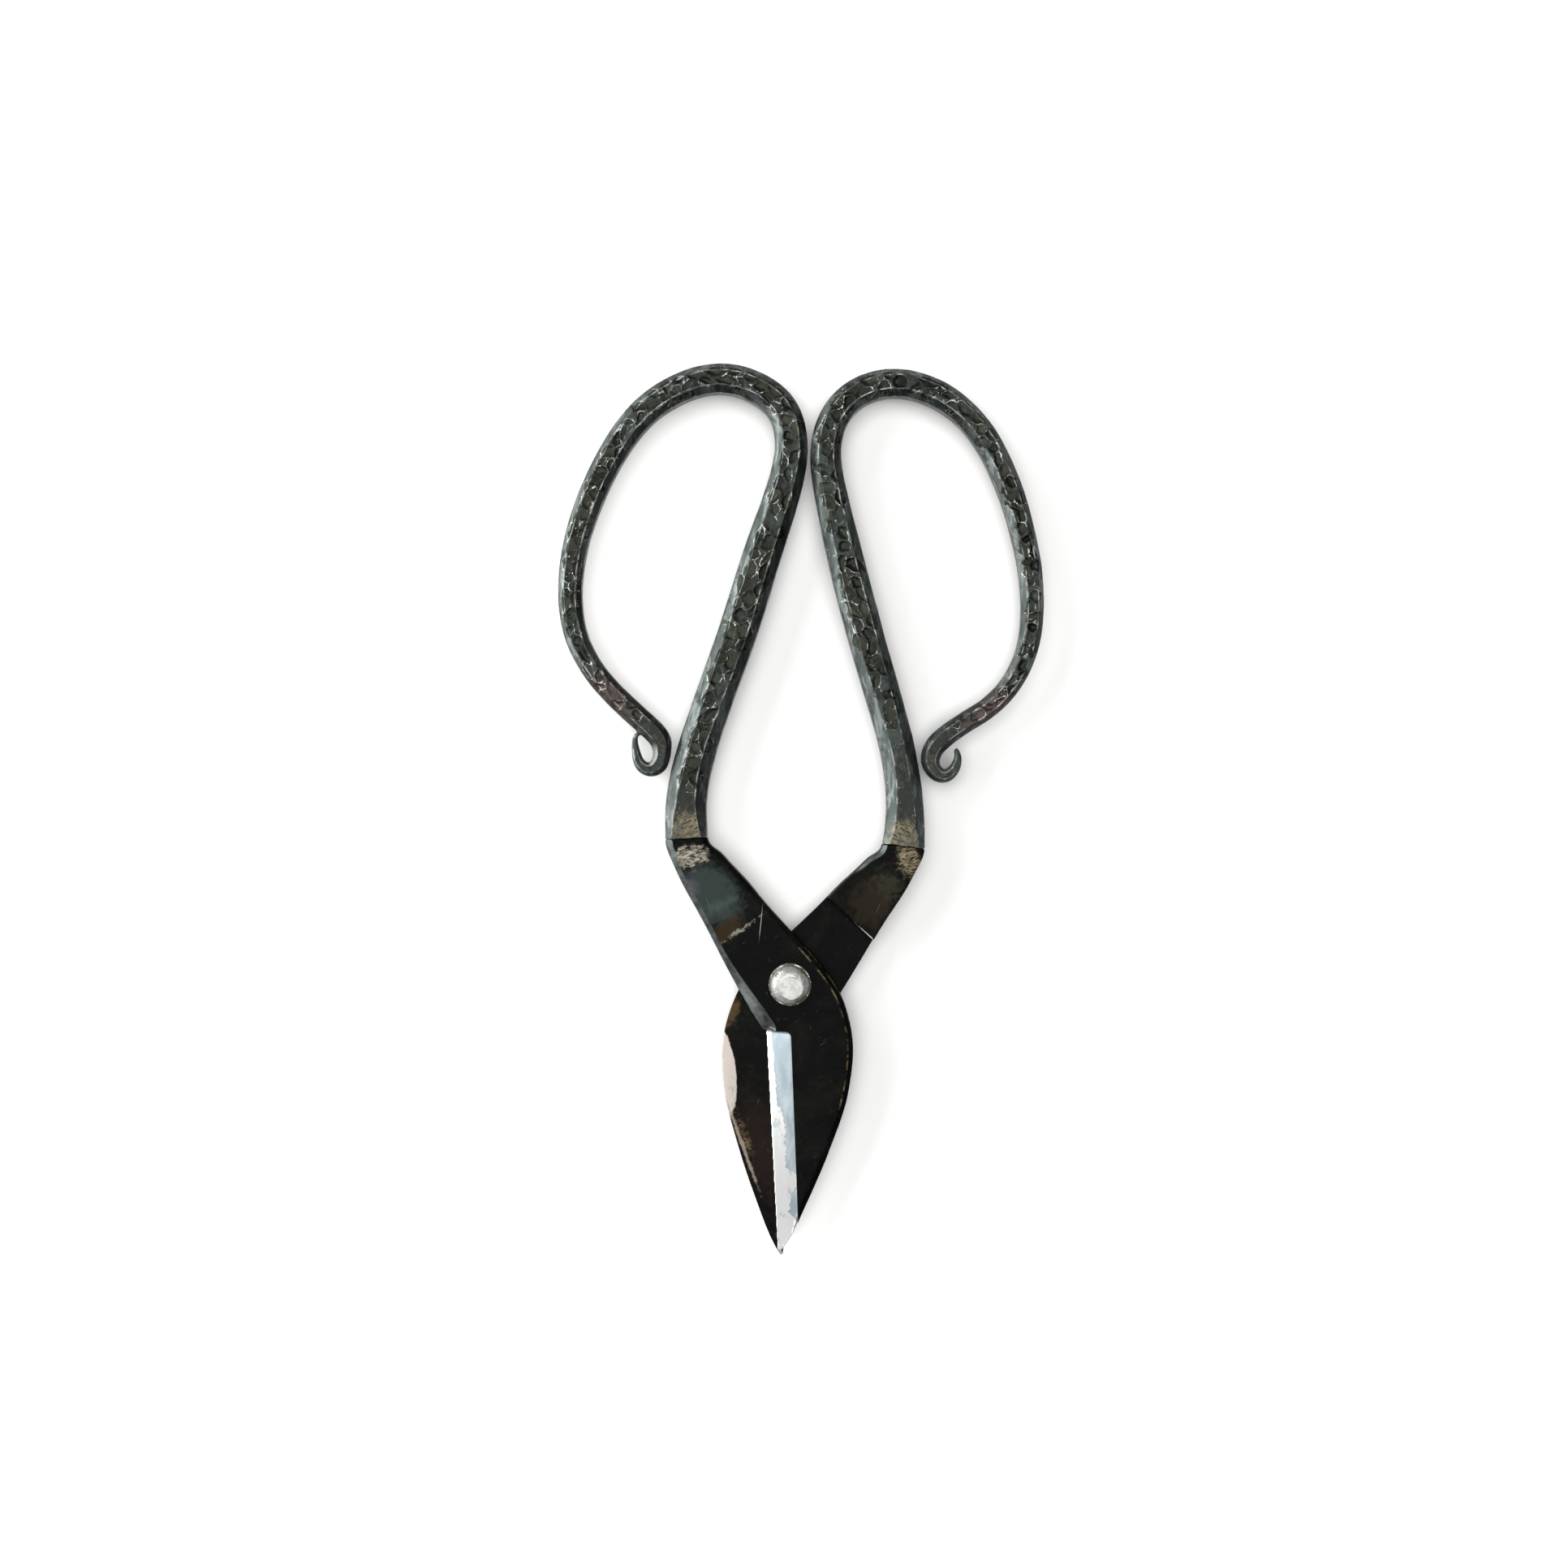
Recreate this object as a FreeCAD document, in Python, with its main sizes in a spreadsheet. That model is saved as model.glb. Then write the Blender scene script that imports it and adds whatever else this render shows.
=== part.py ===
"""Hand-forged fabric shears with open bows, as a parametric FreeCAD document.

Two laminated blade forgings lap over each other and turn on one rivet. A round-shouldered
bar is butt-welded to each forging, bent into a bow, and its thin end is curled against the
shank. Lengths are millimetres.

Frame: +Z is the rivet's axis, on the side of its domed head, +Y runs from the pivot to the
bows, and -Y to the points. The origin is on that axis, at the rivet's flat foot, which is
the lowest point of the shears as they lie. The shears are drawn closed.

The two halves are the same forging. The back one is turned over about the Y axis, so each
half is drawn in one local frame, whose Z = 0 is the plane midway between the two blades, and
whose handle leans to -X.
"""

import FreeCAD
import Part
import Sketcher
import math
import os

from FreeCAD import Vector

# alias, millimetres or degrees, what it is
SIZES = (
    ("front_blade_length", 54.4, "pivot to the point of the upper blade"),
    ("back_blade_length", 55.2, "pivot to the point of the lower blade"),
    ("spine_reach", 13.2, "axis to the widest part of a blade's spine"),
    ("heel_drop", 9.6, "pivot to the heel, where the cutting edge starts"),
    ("edge_reach", 4.5, "axis to the cutting edge at the heel"),
    ("point_reach", 0.6, "axis to the cutting edge at the point"),
    ("notch_step", 0.7, "how far the cutting edge stands back from the neck"),
    ("plate_thickness", 3.0, "blade forging at the pivot"),
    ("point_thickness", 1.5, "blade forging at the point"),
    ("lap_gap", 0.06, "between the two forgings, where they lap"),
    ("edge_land", 0.15, "thickness left at the cutting edge"),
    ("bevel_heel", 5.0, "width of the ground bevel at the heel"),
    ("bevel_point", 4.4, "width of the ground bevel at the point"),
    ("hollow_depth", 0.3, "deepest part of the hollow ground into the inner face"),
    ("hollow_rim", 1.3, "flat rim left round the hollow"),
    ("steel_width", 6.8, "width of the hard steel laid along the edge"),
    ("steel_thickness", 0.9, "thickness of the hard steel"),
    ("spine_chamfer", 1.1, "chamfer along the spine, across the face"),
    ("neck_chamfer", 0.7, "chamfer under the neck, across the face"),
    ("chamfer_drop", 0.5, "both chamfers, down the side"),
    ("arris", 0.3, "small chamfer on the step where the neck becomes thick"),
    ("shoulder_reach", 17.8, "pivot to the step where the neck becomes thick"),
    ("shoulder_angle", 41.4, "turn of the step's direction from the Y axis"),
    ("seam_reach", 21.9, "axis to the middle of the weld between neck and bar"),
    ("seam_rise", 28.4, "pivot to the middle of the weld"),
    ("seam_lean", 5.0, "degrees that the bar leans outward at the weld"),
    ("seam_width", 8.6, "neck and bar at the weld"),
    ("seam_facet", 1.2, "corner facet of the bar at the weld"),
    ("bow_reach", 47.2, "axis to the bar's middle, at the widest part of a bow"),
    ("bow_rise", 93.0, "weld to the bar's middle, at the top of a bow"),
    ("bow_gap", 0.4, "between the two bows when the shears are closed"),
    ("curl_rise", 45.8, "pivot to the side of the curl that meets the shank"),
    ("curl_gap", 0.25, "between a curl and its own shank"),
    ("front_bar_share", 1.03, "the upper bar is a little heavier than drawn"),
    ("back_bar_share", 0.96, "the lower bar is a little lighter than drawn"),
    ("facet_share", 0.25, "corner facet of the bar, as a share of its width"),
    ("pin_diameter", 4.2, "rivet's shank"),
    ("pin_clearance", 0.05, "round the rivet's shank, in the forging that turns"),
    ("head_diameter", 8.0, "rivet's domed head"),
    ("head_height", 2.4, "rivet's domed head, above its washer"),
    ("head_band", 0.5, "upright band at the rim of the domed head"),
    ("head_flat", 2.9, "hammered flat on the domed head"),
    ("foot_diameter", 7.2, "rivet's peened foot"),
    ("foot_height", 1.3, "rivet's peened foot, below its washer"),
    ("foot_band", 0.3, "upright band at the rim of the foot"),
    ("foot_flat", 3.6, "flat of the foot, which the shears rest on"),
    ("washer_diameter", 8.7, "both washers"),
    ("washer_thickness", 0.5, "both washers"),
    ("washer_chamfer", 0.15, "outer corner of a washer"),
    ("washer_gap", 0.02, "between the turning forging and its washer"),
    # The bar's section at each named place along it: width seen from above, and height.
    ("low_width", 8.2, ""),
    ("low_height", 6.4, ""),
    ("shank_width", 7.7, ""),
    ("shank_height", 6.6, ""),
    ("upper_width", 7.6, ""),
    ("upper_height", 6.4, ""),
    ("inner_width", 6.7, ""),
    ("inner_height", 6.0, ""),
    ("crown_width", 6.1, ""),
    ("crown_height", 5.4, ""),
    ("turn_width", 5.8, ""),
    ("turn_height", 5.1, ""),
    ("belly_width", 5.0, ""),
    ("belly_height", 4.6, ""),
    ("under_width", 4.6, ""),
    ("under_height", 4.3, ""),
    ("curl_width", 4.1, ""),
    ("curl_height", 4.0, ""),
    ("loop_width", 3.1, ""),
    ("loop_height", 3.4, ""),
    ("tail_width", 1.9, ""),
    ("tail_height", 2.5, ""),
    ("end_width", 1.0, ""),
    ("end_height", 1.6, ""),
)

# The middle of each bar, from the weld round the bow. A place on the shank is a share of the
# way from the weld to the inner side of the bow, across and up. A place on the bow is a share
# of bow_reach and of bow_rise. A name in the third column gives the place a section.
FRONT_SHANK = (
    (-0.020, 0.080, "low"),
    (0.085, 0.235, None),
    (0.310, 0.410, "shank"),
    (0.510, 0.560, None),
    (0.760, 0.770, "upper"),
    (0.940, 0.915, None),
)
FRONT_BOW = (
    (0.118, 0.936, None),
    (0.240, 0.985, None),
    (0.400, 1.000, "crown"),
    (0.565, 0.976, None),
    (0.722, 0.917, "turn"),
    (0.855, 0.815, None),
    (0.955, 0.688, None),
    (1.000, 0.545, "belly"),
    (0.962, 0.424, None),
    (0.790, 0.303, "under"),
)
BACK_SHANK = (
    (-0.005, 0.085, "low"),
    (0.105, 0.250, None),
    (0.335, 0.425, "shank"),
    (0.560, 0.590, None),
    (0.770, 0.760, "upper"),
    (0.940, 0.915, None),
)
BACK_BOW = (
    (0.122, 0.942, None),
    (0.205, 0.982, None),
    (0.380, 1.004, "crown"),
    (0.520, 0.988, None),
    (0.680, 0.934, "turn"),
    (0.812, 0.840, None),
    (0.918, 0.705, None),
    (0.978, 0.545, "belly"),
    (0.940, 0.400, None),
    (0.795, 0.303, "under"),
)

# The curl, in millimetres outward and up from its side that meets the shank.
FRONT_CURL = (
    (3.0, 4.9, None),
    (0.7, 2.4, None),
    (0.0, 0.0, "curl"),
    (0.6, -2.4, None),
    (2.3, -3.7, "loop"),
    (4.2, -3.0, None),
    (5.3, -0.7, "tail"),
    (5.6, 1.5, None),
    (5.2, 3.6, "end"),
)
BACK_CURL = (
    (6.8, 8.1, None),
    (2.7, 5.0, None),
    (0.6, 2.6, None),
    (0.0, 0.0, "curl"),
    (0.9, -2.0, None),
    (2.9, -2.9, "loop"),
    (4.7, -1.6, None),
    (5.5, 0.4, "tail"),
    (5.4, 1.7, None),
    (4.9, 2.7, "end"),
)

# The forging's outline. A place on the neck is a share of seam_reach and seam_rise, and a
# place on the spine is a share of spine_reach and of the blade's length.
NECK_OUTER = (
    (-1.135, 0.850),
    (-1.025, 0.680),
    (-0.890, 0.510),
    (-0.655, 0.190),
    (-0.425, -0.120),
)
NECK_INNER = (
    (-0.702, 0.922),
    (-0.608, 0.853),
    (-0.455, 0.737),
    (-0.302, 0.608),
    (-0.050, 0.405),
    (0.265, 0.155),
)
SPINE = (
    (0.775, -0.030),
    (0.935, -0.135),
    (1.000, -0.235),
    (0.988, -0.325),
    (0.905, -0.450),
    (0.755, -0.570),
    (0.575, -0.695),
    (0.385, -0.810),
    (0.220, -0.905),
)
POINT_ROUND = 0.3
STEEL_FADE = 0.45
CUT_MARGIN = 3.0

# Where the hollow in the inner face starts, runs and ends: share of the blade's length, share
# of its depth, share of its rim.
HOLLOW = ((0.20, 0.10, 2.6), (0.33, 1.00, 1.0), (0.62, 0.85, 0.8), (0.88, 0.10, 0.8))

doc = FreeCAD.newDocument("FabricShears")
sheet = doc.addObject("Spreadsheet::Sheet", "Sizes")


def fill_sheet():
    """One row for each size: its meaning, then its value under the size's own alias."""
    for row, (alias, value, meaning) in enumerate(SIZES, start=1):
        sheet.set(f"A{row}", meaning or alias.replace("_", " "))
        sheet.set(f"B{row}", str(value))
        sheet.setAlias(f"B{row}", alias)
    doc.recompute()


def size(alias):
    return float(sheet.get(alias))


def origin_plane(body, role):
    return next(f for f in body.Origin.OriginFeatures if f.Role == role)


def new_sketch(body, name, role="XY_Plane"):
    sketch = body.newObject("Sketcher::SketchObject", name)
    sketch.AttachmentSupport = [(origin_plane(body, role), "")]
    sketch.MapMode = "FlatFace"
    return sketch


def draw(sketch, curves):
    for curve in curves:
        sketch.addGeometry(curve)


def polyline(points):
    """Straight edges that join the points and close on the first."""
    return [Part.LineSegment(a, b) for a, b in zip(points, points[1:] + points[:1])]


def through(points, start=None, end=None):
    """A smooth curve through the points, with its end directions if they are given."""
    curve = Part.BSplineCurve()
    directions = [start] + [None] * (len(points) - 2) + [end]
    given = [direction is not None for direction in directions]
    if any(given):
        tangents = [direction or Vector(1, 0, 0) for direction in directions]
        curve.interpolate(Points=points, Tangents=tangents, TangentFlags=given)
    else:
        curve.interpolate(points)
    return curve


def feature(body, kind, name, sketch):
    made = body.newObject(f"PartDesign::{kind}", name)
    made.Profile = sketch
    return made


def bar_direction():
    """The way that the bar leaves the weld, in the half's own frame."""
    lean = math.radians(size("seam_lean"))
    return Vector(-math.sin(lean), math.cos(lean), 0)


def weld_middle():
    return Vector(-size("seam_reach"), size("seam_rise"), 0)


def weld_corners():
    """Outer and inner corner of the neck where the bar is welded on."""
    along = bar_direction()
    across = Vector(along.y, -along.x, 0) * (size("seam_width") / 2)
    return weld_middle() - across, weld_middle() + across


def edge_line(length):
    """Heel and point of the cutting edge."""
    heel = Vector(-size("edge_reach"), -size("heel_drop"), 0)
    point = Vector(-size("point_reach"), -length + POINT_ROUND, 0)
    return heel, point


def edge_x(y, length):
    """The cutting edge's place across the blade, at a height up it."""
    heel, point = edge_line(length)
    return heel.x + (point.x - heel.x) * (y - heel.y) / (point.y - heel.y)


def spine_points(length):
    reach = size("spine_reach")
    return [Vector(u * reach, v * length, 0) for u, v in SPINE]


def neck_points(shares):
    reach, rise = size("seam_reach"), size("seam_rise")
    return [Vector(u * reach, v * rise, 0) for u, v in shares]


def forging_outline(length):
    """The closed outline of one blade with its neck, from the weld down and back."""
    outer, inner = weld_corners()
    along = bar_direction()
    neck = neck_points(NECK_OUTER)
    heel, point = edge_line(length)
    corner = heel - Vector(size("notch_step"), 0, 0)
    tip = Vector(0, -length, 0)
    spine = spine_points(length)
    side = neck_points(NECK_INNER)
    return [
        through([outer, *neck, corner], start=along * -1),
        Part.LineSegment(corner, heel),
        Part.LineSegment(heel, point),
        Part.LineSegment(point, tip),
        through([tip, *reversed(spine)]),
        through([spine[0], *reversed(side), inner], end=along),
        Part.LineSegment(inner, outer),
    ]


def edges_where(shape, wanted):
    """Names of the shape's edges for which wanted(edge) holds."""
    return [f"Edge{n}" for n, edge in enumerate(shape.Edges, start=1) if wanted(edge)]


def chamfer(body, name, wanted, width, drop=None):
    """Chamfers the edges that wanted() picks from the body's last feature."""
    base = body.Tip
    made = body.newObject("PartDesign::Chamfer", name)
    made.Refine = False
    made.Base = (base, edges_where(base.Shape, wanted))
    if drop:
        made.ChamferType = "Two distances"
        made.setExpression("Size2", f"Sizes.{drop}")
    made.setExpression("Size", f"Sizes.{width}")
    doc.recompute()
    return made


def add_neck_and_plate(body, length):
    """The outline at the neck's full thickness, thinned to one plate where the halves lap."""
    low = "-(Sizes.plate_thickness + Sizes.lap_gap / 2)"
    outline = new_sketch(body, "outline")
    draw(outline, forging_outline(length))
    outline.setExpression("AttachmentOffset.Base.z", low)
    blank = feature(body, "Pad", "blank", outline)
    blank.setExpression("Length", "2 * Sizes.plate_thickness + Sizes.lap_gap")

    turn = math.radians(size("shoulder_angle"))
    out = Vector(-math.sin(turn), math.cos(turn), 0)
    along = Vector(out.y, -out.x, 0)
    reach = length + size("spine_reach")
    step = out * size("shoulder_reach")
    lap = new_sketch(body, "lap")
    near = [step - along * reach, step + along * reach]
    far = [p - out * 2 * reach for p in reversed(near)]
    draw(lap, polyline(near + far))
    lap.setExpression("AttachmentOffset.Base.z", low)
    thinned = feature(body, "Pocket", "thinned_lap", lap)
    thinned.setExpression("Length", "Sizes.plate_thickness + Sizes.lap_gap")
    thinned.Reversed = True
    doc.recompute()


def add_taper(body, length):
    """Thins the blade towards its point, on the outer face only."""
    top = size("lap_gap") / 2 + size("plate_thickness")
    end = size("lap_gap") / 2 + size("point_thickness")
    start = -size("heel_drop") / 2
    fall = (top - end) / (length + start)
    beyond = -length - CUT_MARGIN
    wedge = new_sketch(body, "taper", "YZ_Plane")
    above = top + 2 * CUT_MARGIN
    corners = (
        (start + CUT_MARGIN, top + fall * CUT_MARGIN),
        (beyond, end - fall * CUT_MARGIN),
        (beyond, above),
        (start + CUT_MARGIN, above),
    )
    draw(wedge, polyline([Vector(y, z, 0) for y, z in corners]))
    cut = feature(body, "Pocket", "tapered_blade", wedge)
    cut.Type = "ThroughAll"
    cut.SideType = "Symmetric"
    doc.recompute()


def blade_top(y, length):
    """Height of the tapered outer face, at a place along the blade."""
    top = size("lap_gap") / 2 + size("plate_thickness")
    start = -size("heel_drop") / 2
    fall = (size("plate_thickness") - size("point_thickness")) / (length + start)
    return top - fall * (start - y)


def cross_sketch(body, name, y):
    """A sketch across the blade: its X is the blade's X, and its Y is the blade's Z."""
    sketch = new_sketch(body, name, "XZ_Plane")
    sketch.AttachmentOffset = FreeCAD.Placement(Vector(0, 0, -y), FreeCAD.Rotation())
    return sketch


def add_bevel(body, length):
    """Grinds the bevel off the outer face, from the heel past the point."""
    heel = -size("heel_drop")
    beyond = -length - CUT_MARGIN
    bottom = size("lap_gap") / 2 + size("edge_land")
    sketches = []
    for name, y, width in (
        ("bevel_heel", heel, "bevel_heel"),
        ("bevel_point", beyond, "bevel_point"),
    ):
        x = edge_x(y, length)
        rise = (blade_top(y, length) - bottom) / size(width)
        out = CUT_MARGIN
        corners = (
            (x - out, bottom - rise * out),
            (x + size(width) + out, bottom + rise * (size(width) + out)),
            (x - out, bottom + rise * (size(width) + out)),
        )
        sketch = cross_sketch(body, name, y)
        draw(sketch, polyline([Vector(*corner, 0) for corner in corners]))
        sketches.append(sketch)
    cut = feature(body, "SubtractiveLoft", "ground_bevel", sketches[0])
    cut.Sections = sketches[1:]
    cut.Ruled = True
    doc.recompute()


def spine_x(y, length):
    """The spine's place across the blade, at a height up it."""
    curve = through([Vector(0, -length, 0), *reversed(spine_points(length))])
    level = Part.LineSegment(Vector(0.1, y, 0), Vector(2 * size("spine_reach"), y, 0))
    return max(p.X for p in curve.intersect(level))


def add_hollow(body, length):
    """Hollow-grinds the inner face, inside a flat rim."""
    face = size("lap_gap") / 2
    sketches = []
    for n, (along, depth, rim) in enumerate(HOLLOW):
        y = -along * length
        rim = rim * size("hollow_rim")
        left = edge_x(y, length) + rim
        right = max(spine_x(y, length) - rim, left + rim)
        deep = depth * size("hollow_depth")
        a, b = Vector(left, face, 0), Vector(right, face, 0)
        below = Vector(0, -face - size("hollow_depth"), 0)
        arc = Part.Arc(a, Vector((left + right) / 2, face + deep, 0), b)
        sketch = cross_sketch(body, f"hollow_{n}", y)
        sides = [(b, b + below), (b + below, a + below), (a + below, a)]
        draw(sketch, [arc] + [Part.LineSegment(*side) for side in sides])
        sketches.append(sketch)
    cut = feature(body, "SubtractiveLoft", "hollow_ground", sketches[0])
    cut.Sections = sketches[1:]
    doc.recompute()


def add_bore(body, diameter):
    """The rivet's hole."""
    circle = new_sketch(body, "bore")
    draw(circle, [Part.Circle(Vector(0, 0, 0), Vector(0, 0, 1), size("pin_diameter") / 2)])
    circle.addConstraint(Sketcher.Constraint("Diameter", 0, size("pin_diameter")))
    circle.renameConstraint(0, "across")
    circle.setExpression("Constraints.across", diameter)
    cut = feature(body, "Pocket", "rivet_hole", circle)
    cut.Type = "ThroughAll"
    cut.SideType = "Symmetric"
    doc.recompute()


def add_chamfers(body):
    """The chamfers that the smith leaves round the forging, but not at the weld or the edge."""
    top = size("lap_gap") / 2 + size("plate_thickness")

    def middle(edge):
        return edge.valueAt((edge.FirstParameter + edge.LastParameter) / 2)

    def curved(edge):
        return isinstance(edge.Curve, Part.BSplineCurve) and edge.Length > 1

    def spine_side(edge):
        """The upper corner from the point along the spine, and on up the neck to the weld."""
        m, weld = middle(edge), weld_middle()
        inward = m.x > 0 or m.x * weld.y - m.y * weld.x > 0
        return curved(edge) and inward and m.z > top / 2

    def under_neck(edge):
        return curved(edge) and middle(edge).z < -top + 1e-3

    def step(edge):
        box = edge.BoundBox
        straight = not curved(edge) and box.ZMax < -top + 1e-3
        return straight and (middle(edge) - weld_middle()).Length > size("seam_width") / 2

    chamfer(body, "spine_chamfer", spine_side, "spine_chamfer", "chamfer_drop")
    chamfer(body, "neck_chamfer", under_neck, "neck_chamfer", "chamfer_drop")
    chamfer(body, "step_arris", step, "arris")


def blade_forging(half, length_alias, bore):
    """One whole blade with its neck, before it is parted into iron and steel."""
    length = size(length_alias)
    body = doc.addObject("PartDesign::Body", f"{half}_forging")
    add_neck_and_plate(body, length)
    add_taper(body, length)
    add_chamfers(body)
    add_bevel(body, length)
    add_hollow(body, length)
    add_bore(body, bore)
    return body


def steel_envelope(half, length_alias):
    """The space that the hard steel fills, along the edge on the inner face."""
    length = size(length_alias)
    heel, point = edge_line(length)
    width = size("steel_width")
    left = Vector(-size("spine_reach"), 0, 0)
    body = doc.addObject("PartDesign::Body", f"{half}_steel_space")
    sketch = new_sketch(body, "steel_plan")
    end = point + Vector(width * STEEL_FADE, 0, 0)
    down = Vector(0, -CUT_MARGIN, 0)
    corners = [heel, heel + Vector(width, 0, 0), end, end + down, end + down + left, heel + left]
    draw(sketch, polyline(corners))
    sketch.setExpression("AttachmentOffset.Base.z", "Sizes.lap_gap / 2 - Sizes.steel_thickness")
    pad = feature(body, "Pad", "steel_depth", sketch)
    pad.setExpression("Length", "2 * Sizes.steel_thickness")
    doc.recompute()
    return body


def half_placement(turned):
    """Where a half's own frame lies: the back half is turned over about the Y axis."""
    spin = FreeCAD.Rotation(Vector(0, 1, 0), 180 if turned else 0)
    return FreeCAD.Placement(Vector(0, 0, 0), spin)


def place(part, turned, lift):
    part.Placement = half_placement(turned)
    part.setExpression("Placement.Base.z", lift)
    doc.recompute()


MIDDLE = (
    "Sizes.foot_height + Sizes.washer_thickness + Sizes.plate_thickness + Sizes.lap_gap / 2"
)


def blade_and_edge(half, length_alias, bore, turned):
    """The soft iron blade and the hard steel laid into its edge."""
    forging = blade_forging(half, length_alias, bore)
    space = steel_envelope(half, length_alias)
    made = []
    for kind, name in (("Cut", "blade"), ("Common", "edge_steel")):
        part = doc.addObject(f"Part::{kind}", f"{half}_{name}")
        part.Label = f"{half}_{name}"
        part.Base = forging
        part.Tool = space
        doc.recompute()
        place(part, turned, MIDDLE)
        made.append(part)
    return made


def bar_places(half, shank, bow, curl):
    """The bar's middle line: a list of (point, section name or None), from the weld."""
    share = size(f"{half}_bar_share")
    weld = weld_middle()
    inner_x = -(size("bow_gap") + size("inner_width") * share) / 2
    inner = Vector(inner_x, weld.y + 0.84 * size("bow_rise"), 0)
    places = [(weld, "seam")]
    for u, v, name in shank:
        x = weld.x + u * (inner.x - weld.x)
        places.append((Vector(x, weld.y + v * (inner.y - weld.y), 0), name))
    places.append((inner, "inner"))
    for u, v, name in bow:
        x = -u * size("bow_reach")
        places.append((Vector(x, weld.y + v * size("bow_rise"), 0), name))
    side = curl_side(places, share)
    for out, up, name in curl:
        places.append((side + Vector(-out, up, 0), name))
    return places


def curl_side(places, share):
    """Where the curl's middle line comes nearest to its own shank."""
    shank = through([point for point, _ in places[:6]], start=bar_direction())
    rise = size("curl_rise")
    level = Part.LineSegment(Vector(-3 * size("bow_reach"), rise, 0), Vector(0, rise, 0))
    beside = shank.intersect(level)[0]
    along = shank.tangent(shank.parameter(Vector(beside.X, beside.Y, 0)))[0]
    slant = abs(along.y)
    halves = (size("low_width") + size("curl_width")) / 2 * share
    return Vector(beside.X - (halves + size("curl_gap")) / slant, rise, 0)


def section_sketch(body, name, point, along, width, height, facet):
    """A rectangle with cut corners, square to the bar. Its sizes are expressions."""
    across = along.cross(Vector(0, 0, 1))
    up = Vector(0, 0, 1)
    normal = across.cross(up)
    turn = FreeCAD.Rotation(across, up, normal, "ZXY")
    sketch = new_sketch(body, name)
    sketch.AttachmentOffset = FreeCAD.Placement(point, turn)
    w, h, f = 3.0, 2.0, 0.5
    corners = [(-w, f - h), (-w, h - f), (f - w, h), (w - f, h)]
    corners += [(-x, -y) for x, y in corners]
    draw(sketch, polyline([Vector(x, y, 0) for x, y in corners]))
    count = len(corners)
    for n in range(count):
        join = Sketcher.Constraint("Coincident", n, 2, (n + 1) % count, 1)
        sketch.addConstraint(join)
    for n in range(count // 2):
        mirrored = Sketcher.Constraint("Symmetric", n, 1, n + count // 2, 1, -1, 1)
        sketch.addConstraint(mirrored)
    sketch.addConstraint(Sketcher.Constraint("Vertical", 0))
    sketch.addConstraint(Sketcher.Constraint("Horizontal", 2))
    driving = (
        ("DistanceX", 0, 4, 2 * w, "width", width),
        ("DistanceY", 6, 2, 2 * h, "height", height),
        ("DistanceX", 1, 2, f, "facet_1", facet),
        ("DistanceY", 1, 2, f, "facet_2", facet),
        ("DistanceX", 3, 4, f, "facet_3", facet),
        ("DistanceY", 4, 3, f, "facet_4", facet),
    )
    for kind, first, second, value, label, expression in driving:
        limit = Sketcher.Constraint(kind, first, 1, second, 1, value)
        index = sketch.addConstraint(limit)
        sketch.renameConstraint(index, label)
        sketch.setExpression(f"Constraints.{label}", expression)
    return sketch


def handle(half, shank, bow, curl, turned):
    """One bar: shank, bow and curled end, swept through its sections."""
    body = doc.addObject("PartDesign::Body", f"{half}_handle")
    body.Label = f"{half}_handle"
    places = bar_places(half, shank, bow, curl)
    curve = through([point for point, _ in places], start=bar_direction())
    route = new_sketch(body, "route")
    draw(route, [curve])
    sections = []
    for point, name in places:
        if name is None:
            continue
        along = curve.tangent(curve.parameter(point))[0]
        if name == "seam":
            sizes = ("Sizes.seam_width", "2 * Sizes.plate_thickness + Sizes.lap_gap")
            facet = "Sizes.seam_facet"
        else:
            sizes = (f"Sizes.{name}_width * Sizes.{half}_bar_share", f"Sizes.{name}_height")
            facet = f"{sizes[0]} * Sizes.facet_share"
        label = f"{name}_section"
        sections.append(section_sketch(body, label, point, along, *sizes, facet))
    doc.recompute()
    bar = feature(body, "AdditivePipe", "forged_bar", sections[0])
    bar.Spine = (route, ["Edge1"])
    bar.Sections = sections[1:]
    bar.Transformation = "Multisection"
    bar.Mode = "Standard"
    doc.recompute()
    place(body, turned, MIDDLE)
    return body


def dome_profile(radius, flat, band, height):
    """Rim to flat of a hammered head: upright band, then a round back. Points (r, z)."""
    share = 0.55
    middle = Vector(
        flat + (radius - flat) * math.cos(math.radians(90 * share)) ** 0.8,
        band + (height - band) * math.sin(math.radians(90 * share)),
        0,
    )
    return Vector(radius, band, 0), middle, Vector(flat, height, 0)


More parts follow.
